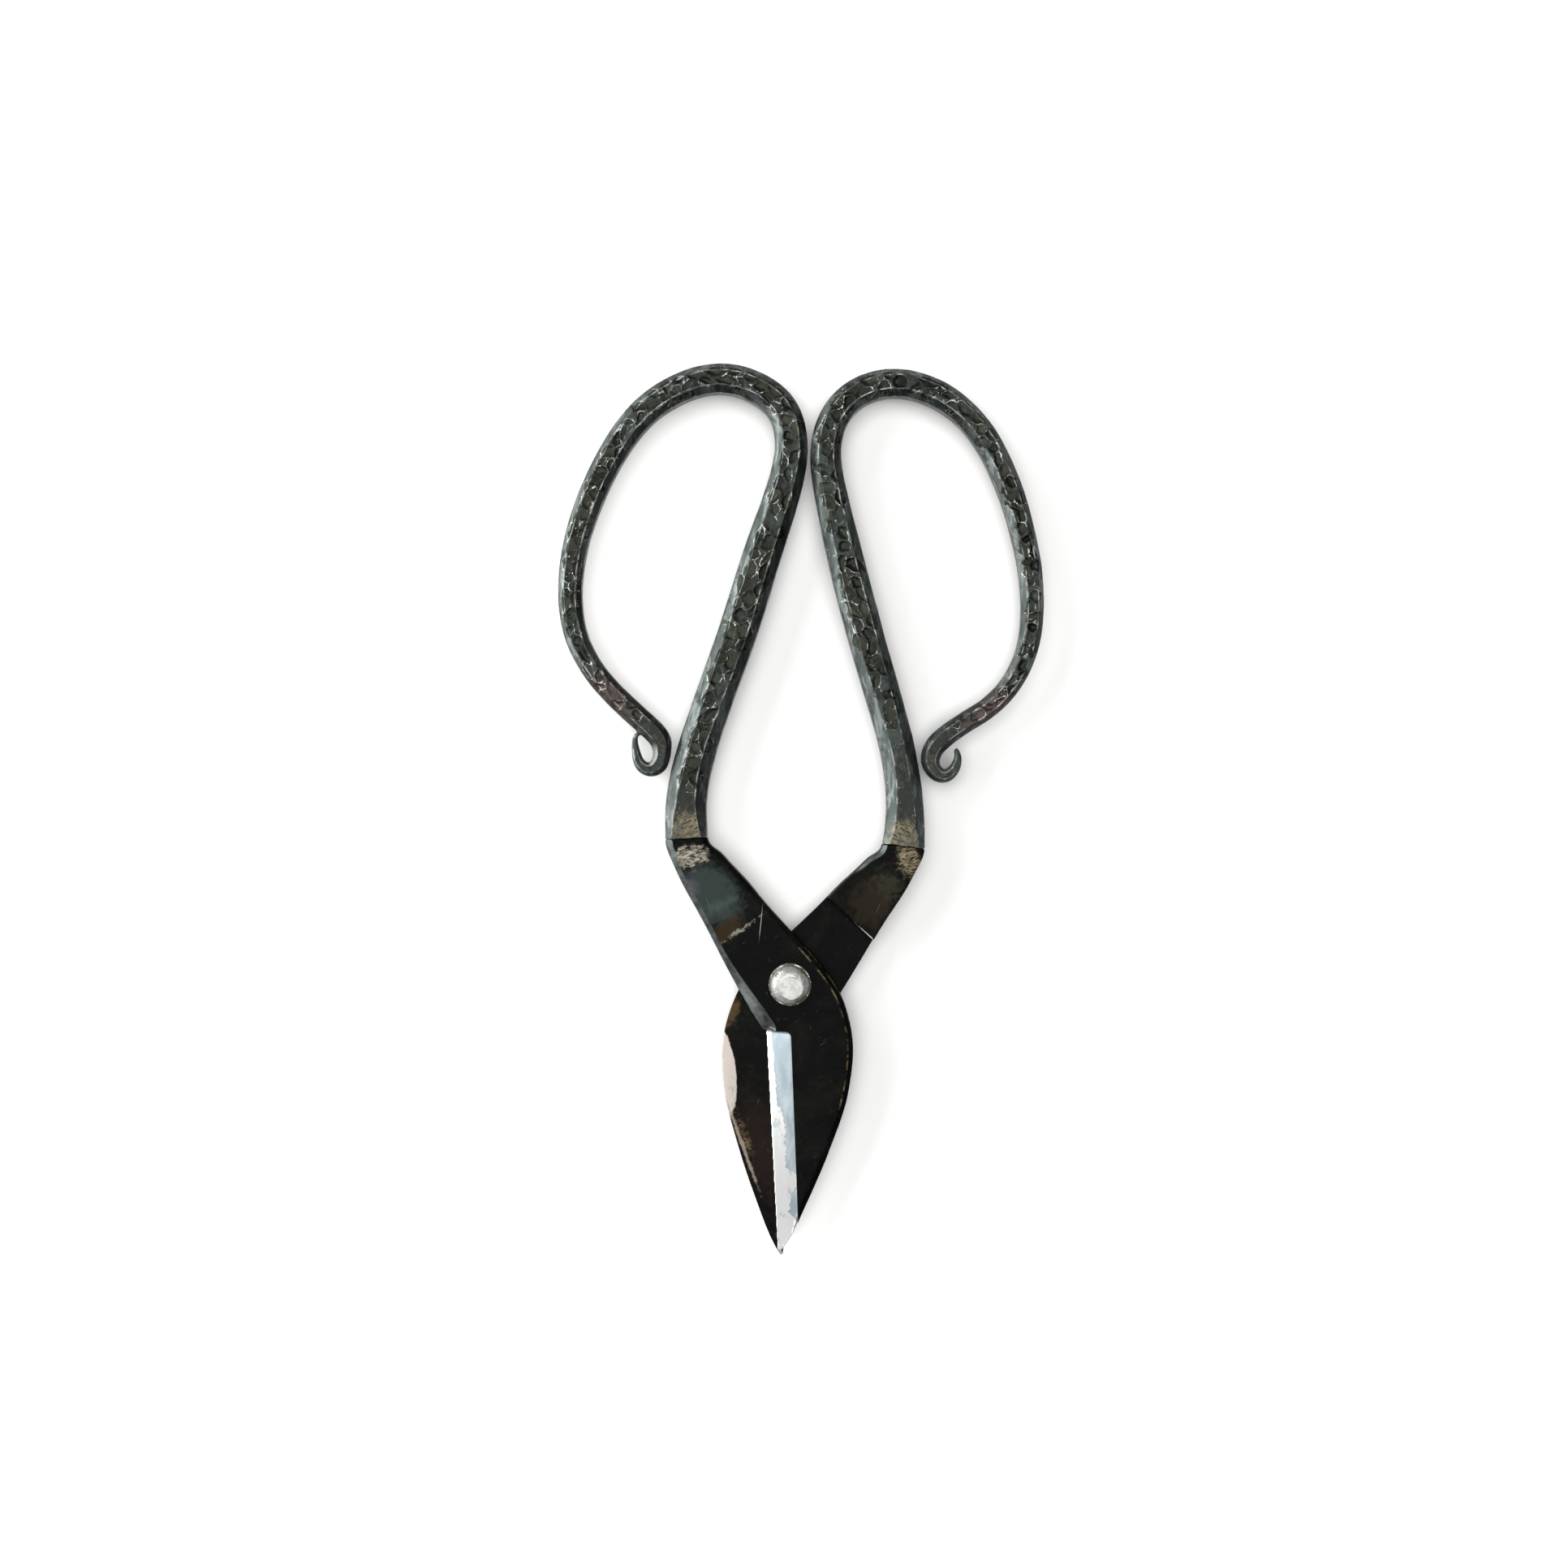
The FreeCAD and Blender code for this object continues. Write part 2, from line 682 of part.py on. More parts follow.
def rivet():
    """Pin, domed head and peened foot in one turned piece."""
    body = doc.addObject("PartDesign::Body", "rivet")
    body.Label = "rivet"
    pin = size("pin_diameter") / 2
    foot = dome_profile(
        size("foot_diameter") / 2, size("foot_flat") / 2, size("foot_band"), size("foot_height")
    )
    head = dome_profile(
        size("head_diameter") / 2, size("head_flat") / 2, size("head_band"), size("head_height")
    )
    foot_top = size("foot_height")
    stack = 2 * (size("plate_thickness") + size("washer_thickness"))
    under_head = foot_top + stack + size("lap_gap") + size("washer_gap")
    foot = [Vector(p.x, foot_top - p.y, 0) for p in foot]
    head = [Vector(p.x, under_head + p.y, 0) for p in head]
    rim, under = Vector(foot[0].x, foot_top, 0), Vector(head[0].x, under_head, 0)
    top = under_head + size("head_height")
    profile = new_sketch(body, "half_profile", "XZ_Plane")
    draw(
        profile,
        [
            Part.LineSegment(Vector(0, 0, 0), foot[2]),
            Part.Arc(foot[2], foot[1], foot[0]),
            Part.LineSegment(foot[0], rim),
            Part.LineSegment(rim, Vector(pin, foot_top, 0)),
            Part.LineSegment(Vector(pin, foot_top, 0), Vector(pin, under_head, 0)),
            Part.LineSegment(Vector(pin, under_head, 0), under),
            Part.LineSegment(under, head[0]),
            Part.Arc(head[0], head[1], head[2]),
            Part.LineSegment(head[2], Vector(0, top, 0)),
            Part.LineSegment(Vector(0, top, 0), Vector(0, 0, 0)),
        ],
    )
    turned = feature(body, "Revolution", "turned", profile)
    turned.ReferenceAxis = (profile, ["V_Axis"])
    turned.Angle = 360
    doc.recompute()
    return body


def washer(half, turned, lift):
    """A thin ring under one end of the rivet."""
    body = doc.addObject("PartDesign::Body", f"{half}_washer")
    body.Label = f"{half}_washer"
    plan = new_sketch(body, "ring")
    up = Vector(0, 0, 1)
    middle = Vector(0, 0, 0)
    for n, alias in enumerate(("washer_diameter", "pin_diameter")):
        draw(plan, [Part.Circle(middle, up, size(alias) / 2)])
        plan.addConstraint(Sketcher.Constraint("Diameter", n, size(alias)))
        plan.renameConstraint(n, f"across_{n}")
        plan.setExpression(f"Constraints.across_{n}", f"Sizes.{alias}")
    ring = feature(body, "Pad", "ring_pad", plan)
    ring.setExpression("Length", "Sizes.washer_thickness")
    doc.recompute()
    thick, radius = size("washer_thickness"), size("washer_diameter") / 2

    def rim(edge):
        box = edge.BoundBox
        return abs(box.ZMin - thick) < 1e-6 and abs(box.XMax - radius) < 1e-6

    chamfer(body, "rim_chamfer", rim, "washer_chamfer")
    place(body, turned, lift)
    return body


def check(parts):
    """Stops the build if an object failed, or a part isn't one valid closed solid."""
    for made in doc.Objects:
        if any(word in made.State for word in ("Invalid", "Error")):
            raise RuntimeError(f"{made.Label} failed: {made.State}")
    for part in parts:
        shape = part.Shape
        if shape.isNull() or not shape.isValid() or len(shape.Solids) != 1:
            raise RuntimeError(f"{part.Label} isn't one valid solid")
        print(f"{part.Label}: {shape.Volume:.1f} mm3, {len(shape.Faces)} faces")


def main():
    fill_sheet()
    foot = "Sizes.foot_height"
    stack = "2 * Sizes.plate_thickness + Sizes.lap_gap + Sizes.washer_thickness"
    running = "Sizes.pin_diameter + 2 * Sizes.pin_clearance"
    parts = [
        *blade_and_edge("front", "front_blade_length", running, False),
        handle("front", FRONT_SHANK, FRONT_BOW, FRONT_CURL, False),
        *blade_and_edge("back", "back_blade_length", "Sizes.pin_diameter", True),
        handle("back", BACK_SHANK, BACK_BOW, BACK_CURL, True),
        rivet(),
        washer("front", False, f"{foot} + {stack} + Sizes.washer_gap"),
        washer("back", True, f"{foot} + Sizes.washer_thickness"),
    ]
    doc.recompute()
    check(parts)
    os.makedirs("parts", exist_ok=True)
    for part in parts:
        part.Shape.exportStep(f"parts/{part.Label}.step")


main()
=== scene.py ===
"""Looks for a pair of hand-forged fabric shears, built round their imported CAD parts.

Every forged piece starts as a copy of its CAD solids, is skinned with an even mesh, and is
then worked as the smith works it: corners knocked back, faces left uneven, the bars dented
by scale under the hammer. Each piece carries its distances from those corners and dents as
attributes, so its finish knows where bare metal shows. Sculpting is in millimetres.
"""

import math

import bmesh
import bpy
import numpy as np
from mathutils import Matrix, Vector, kdtree, noise


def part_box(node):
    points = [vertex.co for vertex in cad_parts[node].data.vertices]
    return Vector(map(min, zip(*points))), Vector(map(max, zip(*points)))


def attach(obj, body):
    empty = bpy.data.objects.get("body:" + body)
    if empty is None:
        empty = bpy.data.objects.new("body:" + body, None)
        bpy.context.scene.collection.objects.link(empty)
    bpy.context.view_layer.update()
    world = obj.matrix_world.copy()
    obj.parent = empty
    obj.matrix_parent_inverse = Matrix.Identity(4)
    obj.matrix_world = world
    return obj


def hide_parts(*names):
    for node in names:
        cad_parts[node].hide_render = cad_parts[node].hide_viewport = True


MM = 0.001

# How fine each kind of piece is skinned, in millimetres. A finer skin on the bars would
# take them past 200,000 triangles each.
BAR_SKIN = 0.25
BLADE_SKIN = 0.2
RIVET_SKIN = 0.09

# Where the two laminated halves lap, and how the ground bevel runs, in millimetres.
LAP_GAP = 0.06
BEVEL_TOP, BEVEL_POINT = 5.0, 4.4
BEVEL_CORNER = 1.1
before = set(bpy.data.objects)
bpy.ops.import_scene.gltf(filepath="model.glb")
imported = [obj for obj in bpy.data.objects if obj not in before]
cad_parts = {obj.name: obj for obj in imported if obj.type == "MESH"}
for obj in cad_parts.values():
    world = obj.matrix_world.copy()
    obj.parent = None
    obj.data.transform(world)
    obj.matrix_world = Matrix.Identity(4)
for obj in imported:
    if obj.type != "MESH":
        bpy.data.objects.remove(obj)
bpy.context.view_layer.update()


# ---------------------------------------------------------------- sculpting


def merged_copy(node):
    """A CAD node's mesh with its loose triangles joined up."""
    bm = bmesh.new()
    bm.from_mesh(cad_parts[node].data)
    bmesh.ops.remove_doubles(bm, verts=bm.verts, dist=0.0005 * MM)
    return bm


def corner_points(nodes, wanted, spacing=0.2, sharp=22, upright=False):
    """Points, in millimetres, along the nodes' sharp corners that wanted(middle, way) accepts.

    With upright, only the corners of upright faces count.
    """
    points = []
    for node in nodes:
        bm = merged_copy(node)
        for edge in bm.edges:
            if len(edge.link_faces) != 2 or edge.calc_face_angle(0) < math.radians(sharp):
                continue
            if upright and min(abs(face.normal.z) for face in edge.link_faces) > 0.2:
                continue
            a, b = (v.co / MM for v in edge.verts)
            if not wanted((a + b) / 2, (b - a).normalized()):
                continue
            count = max(1, int((b - a).length / spacing))
            points += [a.lerp(b, n / count) for n in range(count + 1)]
        bm.free()
    return points


def distances(points, places):
    """Each place's distance to the nearest of the points."""
    tree = kdtree.KDTree(len(points))
    for n, point in enumerate(points):
        tree.insert(point, n)
    tree.balance()
    return np.array([tree.find(place)[2] for place in places])


class Blank:
    """A piece being worked: its mesh's points and normals as arrays, in millimetres."""

    def __init__(self, name, nodes, voxel, gaps=()):
        mesh = bpy.data.meshes.new(name)
        whole = bmesh.new()
        for node in nodes:
            bm = merged_copy(node)
            part = bpy.data.meshes.new(name)
            bm.to_mesh(part)
            bm.free()
            whole.from_mesh(part)
            bpy.data.meshes.remove(part)
        whole.to_mesh(mesh)
        whole.free()
        self.piece = bpy.data.objects.new(name, mesh)
        bpy.context.scene.collection.objects.link(self.piece)
        for gap in gaps:
            ease_off(mesh, *gap)
        skin = self.piece.modifiers.new("skin", "REMESH")
        skin.mode = "VOXEL"
        skin.voxel_size = voxel * MM
        bpy.context.view_layer.update()
        depsgraph = bpy.context.evaluated_depsgraph_get()
        skinned = bpy.data.meshes.new_from_object(self.piece.evaluated_get(depsgraph))
        self.piece.modifiers.clear()
        self.piece.data = skinned
        skinned.name = name
        bpy.data.meshes.remove(mesh)
        self.nodes = nodes
        self.smooth(2)
        self.read()

    def smooth(self, rounds, chosen=None):
        """Evens out the mesh, or only its chosen points."""
        bm = bmesh.new()
        bm.from_mesh(self.piece.data)
        verts = [v for v in bm.verts if chosen is None or chosen[v.index]]
        for _ in range(rounds):
            bmesh.ops.smooth_vert(
                bm, verts=verts, factor=0.5, use_axis_x=True, use_axis_y=True, use_axis_z=True
            )
        bm.to_mesh(self.piece.data)
        bm.free()

    def read(self):
        """Reads the mesh's points and normals, in millimetres."""
        mesh = self.piece.data
        count = len(mesh.vertices)
        points = np.empty(count * 3)
        normals = np.empty(count * 3)
        mesh.vertices.foreach_get("co", points)
        mesh.vertices.foreach_get("normal", normals)
        self.points = points.reshape(-1, 3) / MM
        self.normals = normals.reshape(-1, 3)

    def write(self):
        """Puts the points back into the mesh."""
        mesh = self.piece.data
        mesh.vertices.foreach_set("co", (self.points * MM).ravel())
        mesh.update()
        self.read()

    def push(self, amount):
        """Moves each point along its normal."""
        self.points += self.normals * np.asarray(amount)[:, None]
        self.write()

    def noise(self, size, shift=0.0, stretch=(1, 1, 1)):
        """Smooth noise, about -1 to 1, whose lumps are about size across."""
        places = self.points / (size * np.array(stretch)) + shift
        return np.array([noise.noise(place) for place in places])

    def store(self, name, values):
        """Keeps a number for each point as an attribute that materials can read."""
        layer = self.piece.data.attributes.new(name, "FLOAT", "POINT")
        layer.data.foreach_set("value", np.asarray(values, dtype=np.float32))

    def finish(self, body, material):
        """Makes the piece ride its body and stand for its nodes."""
        mesh = self.piece.data
        mesh.materials.clear()
        mesh.materials.append(material)
        for polygon in mesh.polygons:
            polygon.use_smooth = True
        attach(self.piece, body)
        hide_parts(*self.nodes)
        return self.piece


def ease_off(mesh, side_line, contact, away):
    """Moves a wall away from its neighbour by up to the length of away, near their contact.

    Only points on the left of the side line, given as (y, x) places, are moved.
    """
    heights, sides = zip(*side_line)
    for vertex in mesh.vertices:
        x, y = vertex.co.x / MM, vertex.co.y / MM
        if heights[0] < y < heights[-1] and x < np.interp(y, heights, sides):
            share = 1 - ease(0.5, 3.6, math.hypot(x - contact[0], y - contact[1]))
            vertex.co += Vector((*away, 0)) * MM * float(share)


def ease(low, high, values):
    """0 below low, 1 above high, and a smooth rise between."""
    t = np.clip((np.asarray(values) - low) / (high - low), 0, 1)
    return t * t * (3 - 2 * t)


# ---------------------------------------------------------------- shader helpers


class Shader:
    """Short calls that add nodes to one material's or one group's tree."""

    def __init__(self, tree):
        self.tree = tree

    def node(self, kind, **settings):
        made = self.tree.nodes.new(kind)
        for key, value in settings.items():
            setattr(made, key, value)
        return made

    def put(self, socket, value):
        """Links the value to a socket if it's a socket, and sets it if it's a number."""
        if isinstance(value, bpy.types.NodeSocket):
            self.tree.links.new(value, socket)
        elif hasattr(value, "__len__") and len(value) == 3 and socket.type == "RGBA":
            socket.default_value = (*value, 1)
        else:
            socket.default_value = value

    def math(self, operation, *values, clamp=False):
        made = self.node("ShaderNodeMath", operation=operation, use_clamp=clamp)
        for socket, value in zip(made.inputs, values):
            self.put(socket, value)
        return made.outputs[0]

    def span(self, value, low, high, to_low=0.0, to_high=1.0):
        """Smooth step from to_low at low, to to_high at high."""
        made = self.node("ShaderNodeMapRange", interpolation_type="SMOOTHSTEP")
        for socket, number in zip(made.inputs, (value, low, high, to_low, to_high)):
            self.put(socket, number)
        return made.outputs[0]

    def mix(self, share, first, second, blend="MIX"):
        made = self.node("ShaderNodeMix", data_type="RGBA", blend_type=blend)
        self.put(made.inputs[0], share)
        self.put(made.inputs[6], first)
        self.put(made.inputs[7], second)
        return made.outputs[2]

    def blend(self, share, first, second):
        made = self.node("ShaderNodeMix", data_type="FLOAT")
        for socket, value in zip(made.inputs[:1] + made.inputs[2:4], (share, first, second)):
            self.put(socket, value)
        return made.outputs[0]

    def place(self, vector, scale=(1, 1, 1), turn=0.0, shift=(0, 0, 0)):
        """Turns a pattern about Z, moves it and stretches it."""
        made = self.node("ShaderNodeMapping")
        self.put(made.inputs["Vector"], vector)
        made.inputs["Location"].default_value = shift
        made.inputs["Rotation"].default_value = (0, 0, math.radians(turn))
        made.inputs["Scale"].default_value = scale
        return made.outputs[0]

    def noise(self, vector, size, detail=3.0, roughness=0.55, distortion=0.0):
        """Noise from 0 to 1, whose lumps are about size millimetres across."""
        made = self.node("ShaderNodeTexNoise")
        self.put(made.inputs["Vector"], vector)
        made.inputs["Scale"].default_value = 1 / size
        made.inputs["Detail"].default_value = detail
        made.inputs["Roughness"].default_value = roughness
        made.inputs["Distortion"].default_value = distortion
        return made.outputs["Fac"]

    def attribute(self, name):
        return self.node("ShaderNodeAttribute", attribute_name=name).outputs["Fac"]

    def millimetres(self):
        """Object coordinates, in millimetres."""
        where = self.node("ShaderNodeTexCoord").outputs["Object"]
        made = self.node("ShaderNodeVectorMath", operation="SCALE")
        self.put(made.inputs[0], where)
        made.inputs["Scale"].default_value = 1 / MM
        return made.outputs[0]

    def use(self, group, **values):
        """Places a node group, with inputs given by name in words joined by underscores."""
        made = self.node("ShaderNodeGroup")
        made.node_tree = group
        for key, value in values.items():
            self.put(made.inputs[key.replace("_", " ")], value)
        return made.outputs


SOCKETS = {
    "value": "NodeSocketFloat",
    "colour": "NodeSocketColor",
    "vector": "NodeSocketVector",
}


def new_group(name, inputs, outputs):
    """An empty node group: returns it, its Shader, its input sockets and its output node."""
    group = bpy.data.node_groups.new(name, "ShaderNodeTree")
    for direction, sockets in (("INPUT", inputs), ("OUTPUT", outputs)):
        for label, kind in sockets:
            group.interface.new_socket(label, in_out=direction, socket_type=SOCKETS[kind])
    shader = Shader(group)
    inside = shader.node("NodeGroupInput").outputs
    outside = shader.node("NodeGroupOutput").inputs
    return group, shader, inside, outside


def new_material(name, **constants):
    """A material with a Principled BSDF: returns it, its Shader and the BSDF's inputs."""
    material = bpy.data.materials.new(name)
    material.use_nodes = True
    shader = Shader(material.node_tree)
    surface = material.node_tree.nodes["Principled BSDF"].inputs
    for key, value in constants.items():
        surface[key.replace("_", " ")].default_value = value
    return material, shader, surface


def bump(shader, surface, height, depth, strength=1.0):
    """Bumps the surface by a height of 0 to 1 that stands for depth millimetres."""
    made = shader.node("ShaderNodeBump")
    made.inputs["Strength"].default_value = strength
    made.inputs["Distance"].default_value = depth * MM
    shader.put(made.inputs["Height"], height)
    shader.put(surface["Normal"], made.outputs[0])


# ---------------------------------------------------------------- shared effects


def scale_group():
    """Forge scale: charcoal, with a green-grey bloom, brown rust and a fine grain."""
    group, s, given, out = new_group(
        "forge_scale",
        (("Place", "vector"), ("Dark", "colour"), ("Bloom", "colour"), ("Rust", "colour"),
         ("Bloom share", "value"), ("Rust share", "value")),
        (("Colour", "colour"), ("Roughness", "value"), ("Height", "value")),
    )
    place = given["Place"]
    cloud = s.noise(place, 9, 5, 0.6, 0.6)
    fine = s.noise(place, 1.1, 5, 0.65)
    grain = s.noise(place, 0.28, 3, 0.6)
    low = s.math("SUBTRACT", 0.62, s.math("MULTIPLY", given["Bloom share"], 0.4))
    high = s.math("ADD", low, 0.16)
    bloom = s.span(s.blend(0.3, cloud, fine), low, high)
    colour = s.mix(bloom, given["Dark"], given["Bloom"])
    patch = s.noise(s.place(place, shift=(31, 7, 3)), 6, 6, 0.7, 0.9)
    low = s.math("SUBTRACT", 0.68, s.math("MULTIPLY", given["Rust share"], 0.4))
    high = s.math("ADD", low, 0.12)
    rust = s.span(s.blend(0.35, patch, fine), low, high)
    colour = s.mix(rust, colour, given["Rust"])
    colour = s.mix(s.span(fine, 0.3, 0.7, 0.45, 0.0), colour, (0.004, 0.004, 0.005))
    s.put(out["Colour"], colour)
    s.put(out["Roughness"], s.span(s.blend(0.5, fine, cloud), 0.3, 0.7, 0.3, 0.46))
    grainy = s.math("ADD", s.math("MULTIPLY", fine, 0.7), s.math("MULTIPLY", grain, 0.3))
    s.put(out["Height"], grainy)
    return group


def scratch_group():
    """Fine scratches that run one way: a mask of thin broken lines."""
    group, s, given, out = new_group(
        "fine_scratches",
        (("Place", "vector"), ("Share", "value")),
        (("Mask", "value"),),
    )
    line = s.noise(s.place(given["Place"], scale=(5.5, 0.22, 1)), 1, 2, 0.5, 0.2)
    breaks = s.noise(given["Place"], 3.0, 2, 0.6)
    low = s.math("SUBTRACT", 0.76, s.math("MULTIPLY", given["Share"], 0.2))
    thin = s.span(line, low, s.math("ADD", low, 0.05))
    s.put(out["Mask"], s.math("MULTIPLY", thin, s.span(breaks, 0.48, 0.6)))
    return group


def patch_group():
    """A worn patch: a turned ellipse with a ragged border, as a mask."""
    group, s, given, out = new_group(
        "worn_patch",
        (("Place", "vector"), ("Centre", "vector"), ("Reach", "vector"), ("Turn", "value"),
         ("Ragged", "value"), ("Soft", "value")),
        (("Mask", "value"),),
    )
    away = s.node("ShaderNodeVectorRotate", rotation_type="Z_AXIS")
    s.put(away.inputs["Vector"], given["Place"])
    s.put(away.inputs["Center"], given["Centre"])
    s.put(away.inputs["Angle"], given["Turn"])
    local = s.node("ShaderNodeVectorMath", operation="SUBTRACT")
    s.put(local.inputs[0], away.outputs[0])
    s.put(local.inputs[1], given["Centre"])
    share = s.node("ShaderNodeVectorMath", operation="DIVIDE")
    s.put(share.inputs[0], local.outputs[0])
    s.put(share.inputs[1], given["Reach"])
    reach = s.node("ShaderNodeVectorMath", operation="LENGTH")
    s.put(reach.inputs[0], share.outputs[0])
    rough = s.math("SUBTRACT", s.noise(given["Place"], 1.6, 6, 0.72, 0.4), 0.5)
    edge = s.math("ADD", reach.outputs["Value"], s.math("MULTIPLY", rough, given["Ragged"]))
    s.put(out["Mask"], s.span(edge, 1, s.math("SUBTRACT", 1, given["Soft"])))
    return group


def brush_group():
    """Metal brushed bare one way: broken parallel strokes, as a mask."""
    group, s, given, out = new_group("brushed", (("Place", "vector"),), (("Mask", "value"),))
    wide = s.noise(s.place(given["Place"], scale=(0.6, 1.5, 1)), 1, 6, 0.75, 0.8)
    fine = s.noise(s.place(given["Place"], scale=(1.1, 5.0, 1)), 1, 4, 0.7, 0.5)
    s.put(out["Mask"], s.span(s.blend(0.5, wide, fine), 0.43, 0.58))
    return group


FORGE_SCALE = scale_group()
SCRATCHES = scratch_group()
WORN_PATCH = patch_group()
BRUSHED = brush_group()


def patch(shader, place, centre, reach, turn=0.0, ragged=1.2, soft=0.3):
    """A worn patch, its ellipse turned by turn degrees anticlockwise."""
    made = shader.use(
        WORN_PATCH, Place=place, Centre=centre, Reach=reach, Turn=math.radians(-turn),
        Ragged=ragged, Soft=soft,
    )
    return made["Mask"]


# ---------------------------------------------------------------- finishes


def bar_finish(name, turned):
    """Hammered bar: dark in its dents, bare on their rims, greenish on its flanks."""
    material, s, surface = new_material(name, Specular_IOR_Level=0.2)
    place = s.place(s.millimetres(), scale=(-1 if turned else 1, 1, 1))
    dent, flank, corner = (s.attribute(key) for key in ("dent", "flank", "corner"))
    scale = s.use(
        FORGE_SCALE, Place=place, Dark=(0.014, 0.016, 0.013), Bloom=(0.032, 0.041, 0.036),
        Rust=(0.050, 0.034, 0.027), Bloom_share=0.45, Rust_share=0.3,
    )
    cloud = s.noise(s.place(place, scale=(1, 0.4, 1)), 3.5, 5, 0.65, 0.4)
    teal = s.mix(s.span(cloud, 0.35, 0.65), (0.024, 0.032, 0.030), (0.056, 0.064, 0.061))
    streak = s.noise(s.place(place, scale=(1, 0.3, 1), shift=(5, 0, 9)), 2.4, 6, 0.7, 0.5)
    streak = s.span(streak, 0.46, 0.64, 0.0, 0.75)
    teal = s.mix(streak, teal, (0.150, 0.170, 0.165))
    colour = s.mix(flank, scale["Colour"], teal)
    floor = s.span(dent, 0.0, 0.25)
    olive = s.mix(s.attribute("tone"), (0.006, 0.0065, 0.005), (0.026, 0.028, 0.019))
    olive = s.mix(s.span(cloud, 0.42, 0.62, 0.0, 0.6), olive, scale["Colour"])
    colour = s.mix(s.math("MULTIPLY", floor, 0.9), colour, olive)
    broken = s.noise(place, 2.6, 4, 0.6)
    rim = s.math("MULTIPLY", s.span(dent, -0.15, -0.04), s.span(dent, 0.09, 0.02))
    rim = s.math("MULTIPLY", rim, s.span(broken, 0.47, 0.6))
    rim = s.math("MULTIPLY", rim, s.span(s.noise(place, 0.5, 3, 0.6), 0.4, 0.6, 0.15, 1.0))
    worn = s.math("MULTIPLY", s.span(corner, 0.3, 0.06), s.span(broken, 0.44, 0.6, 0.08, 0.55))
    nicks = s.span(s.noise(place, 0.45, 2, 0.5), 0.66, 0.72)
    nicks = s.math("MULTIPLY", nicks, s.span(corner, 1.6, 0.2, 0.0, 0.7))
    worn = s.math("MAXIMUM", worn, s.math("MULTIPLY", nicks, s.span(broken, 0.5, 0.6)))
    scratch = s.use(SCRATCHES, Place=s.place(place, turn=35), Share=0.3)["Mask"]
    bare = s.math("MAXIMUM", rim, s.math("MAXIMUM", worn, s.math("MULTIPLY", scratch, 0.35)))
    strokes = s.use(BRUSHED, Place=s.place(place, turn=-35))["Mask"]
    weld = patch(s, place, (-21.5, 30.5, 7.9), (4.2, 4.6, 3), 0, 2.0, 0.5)
    weld = s.math("MULTIPLY", s.math("MULTIPLY", weld, strokes), 0.55)
    colour = s.mix(weld, colour, (0.19, 0.16, 0.10))
    blush = patch(s, place, (-39.0, 56.0, 8), (9.0, 7.0, 9), -38, 1.6, 0.8)
    colour = s.mix(s.math("MULTIPLY", blush, 0.5), colour, (0.075, 0.050, 0.046))
    s.put(surface["Base Color"], s.mix(bare, colour, (0.46, 0.47, 0.44)))
    s.put(surface["Metallic"], s.blend(bare, s.span(flank, 0, 1, 0.75, 0.92), 0.6))
    rough = s.blend(flank, scale["Roughness"], s.span(cloud, 0.3, 0.7, 0.36, 0.48))
    rough = s.blend(floor, rough, 0.4)
    s.put(surface["Roughness"], s.blend(bare, rough, 0.35))
    bump(s, surface, scale["Height"], 0.045)
    return material


def ground_steel(s, place, along):
    """Colour, roughness and height of ground metal: hard steel is brighter than iron."""
    pits = s.span(s.noise(place, 0.7, 3, 0.6), 0.72, 0.76)
    smear = s.noise(s.place(place, scale=(1, 0.45, 1)), 3.2, 5, 0.62, 0.5)
    iron = s.mix(s.span(smear, 0.35, 0.65), (0.29, 0.345, 0.375), (0.385, 0.440, 0.465))
    blot = s.noise(s.place(place, scale=(1, 0.6, 1), shift=(4, 1, 0)), 2.2, 6, 0.7, 0.6)
    hard = s.mix(s.span(blot, 0.55, 0.63, 0.0, 0.7), (0.82, 0.83, 0.82), (0.50, 0.55, 0.575))
    colour = s.mix(along, iron, hard)
    colour = s.mix(s.math("MULTIPLY", pits, 0.75), colour, (0.10, 0.11, 0.12))
    lines = s.noise(s.place(place, scale=(0.25, 6, 1), turn=-5), 1.2, 3, 0.6)
    rough = s.blend(along, s.span(smear, 0.3, 0.7, 0.36, 0.46), 0.3)
    return colour, rough, s.math("SUBTRACT", s.math("MULTIPLY", lines, 0.25), pits)


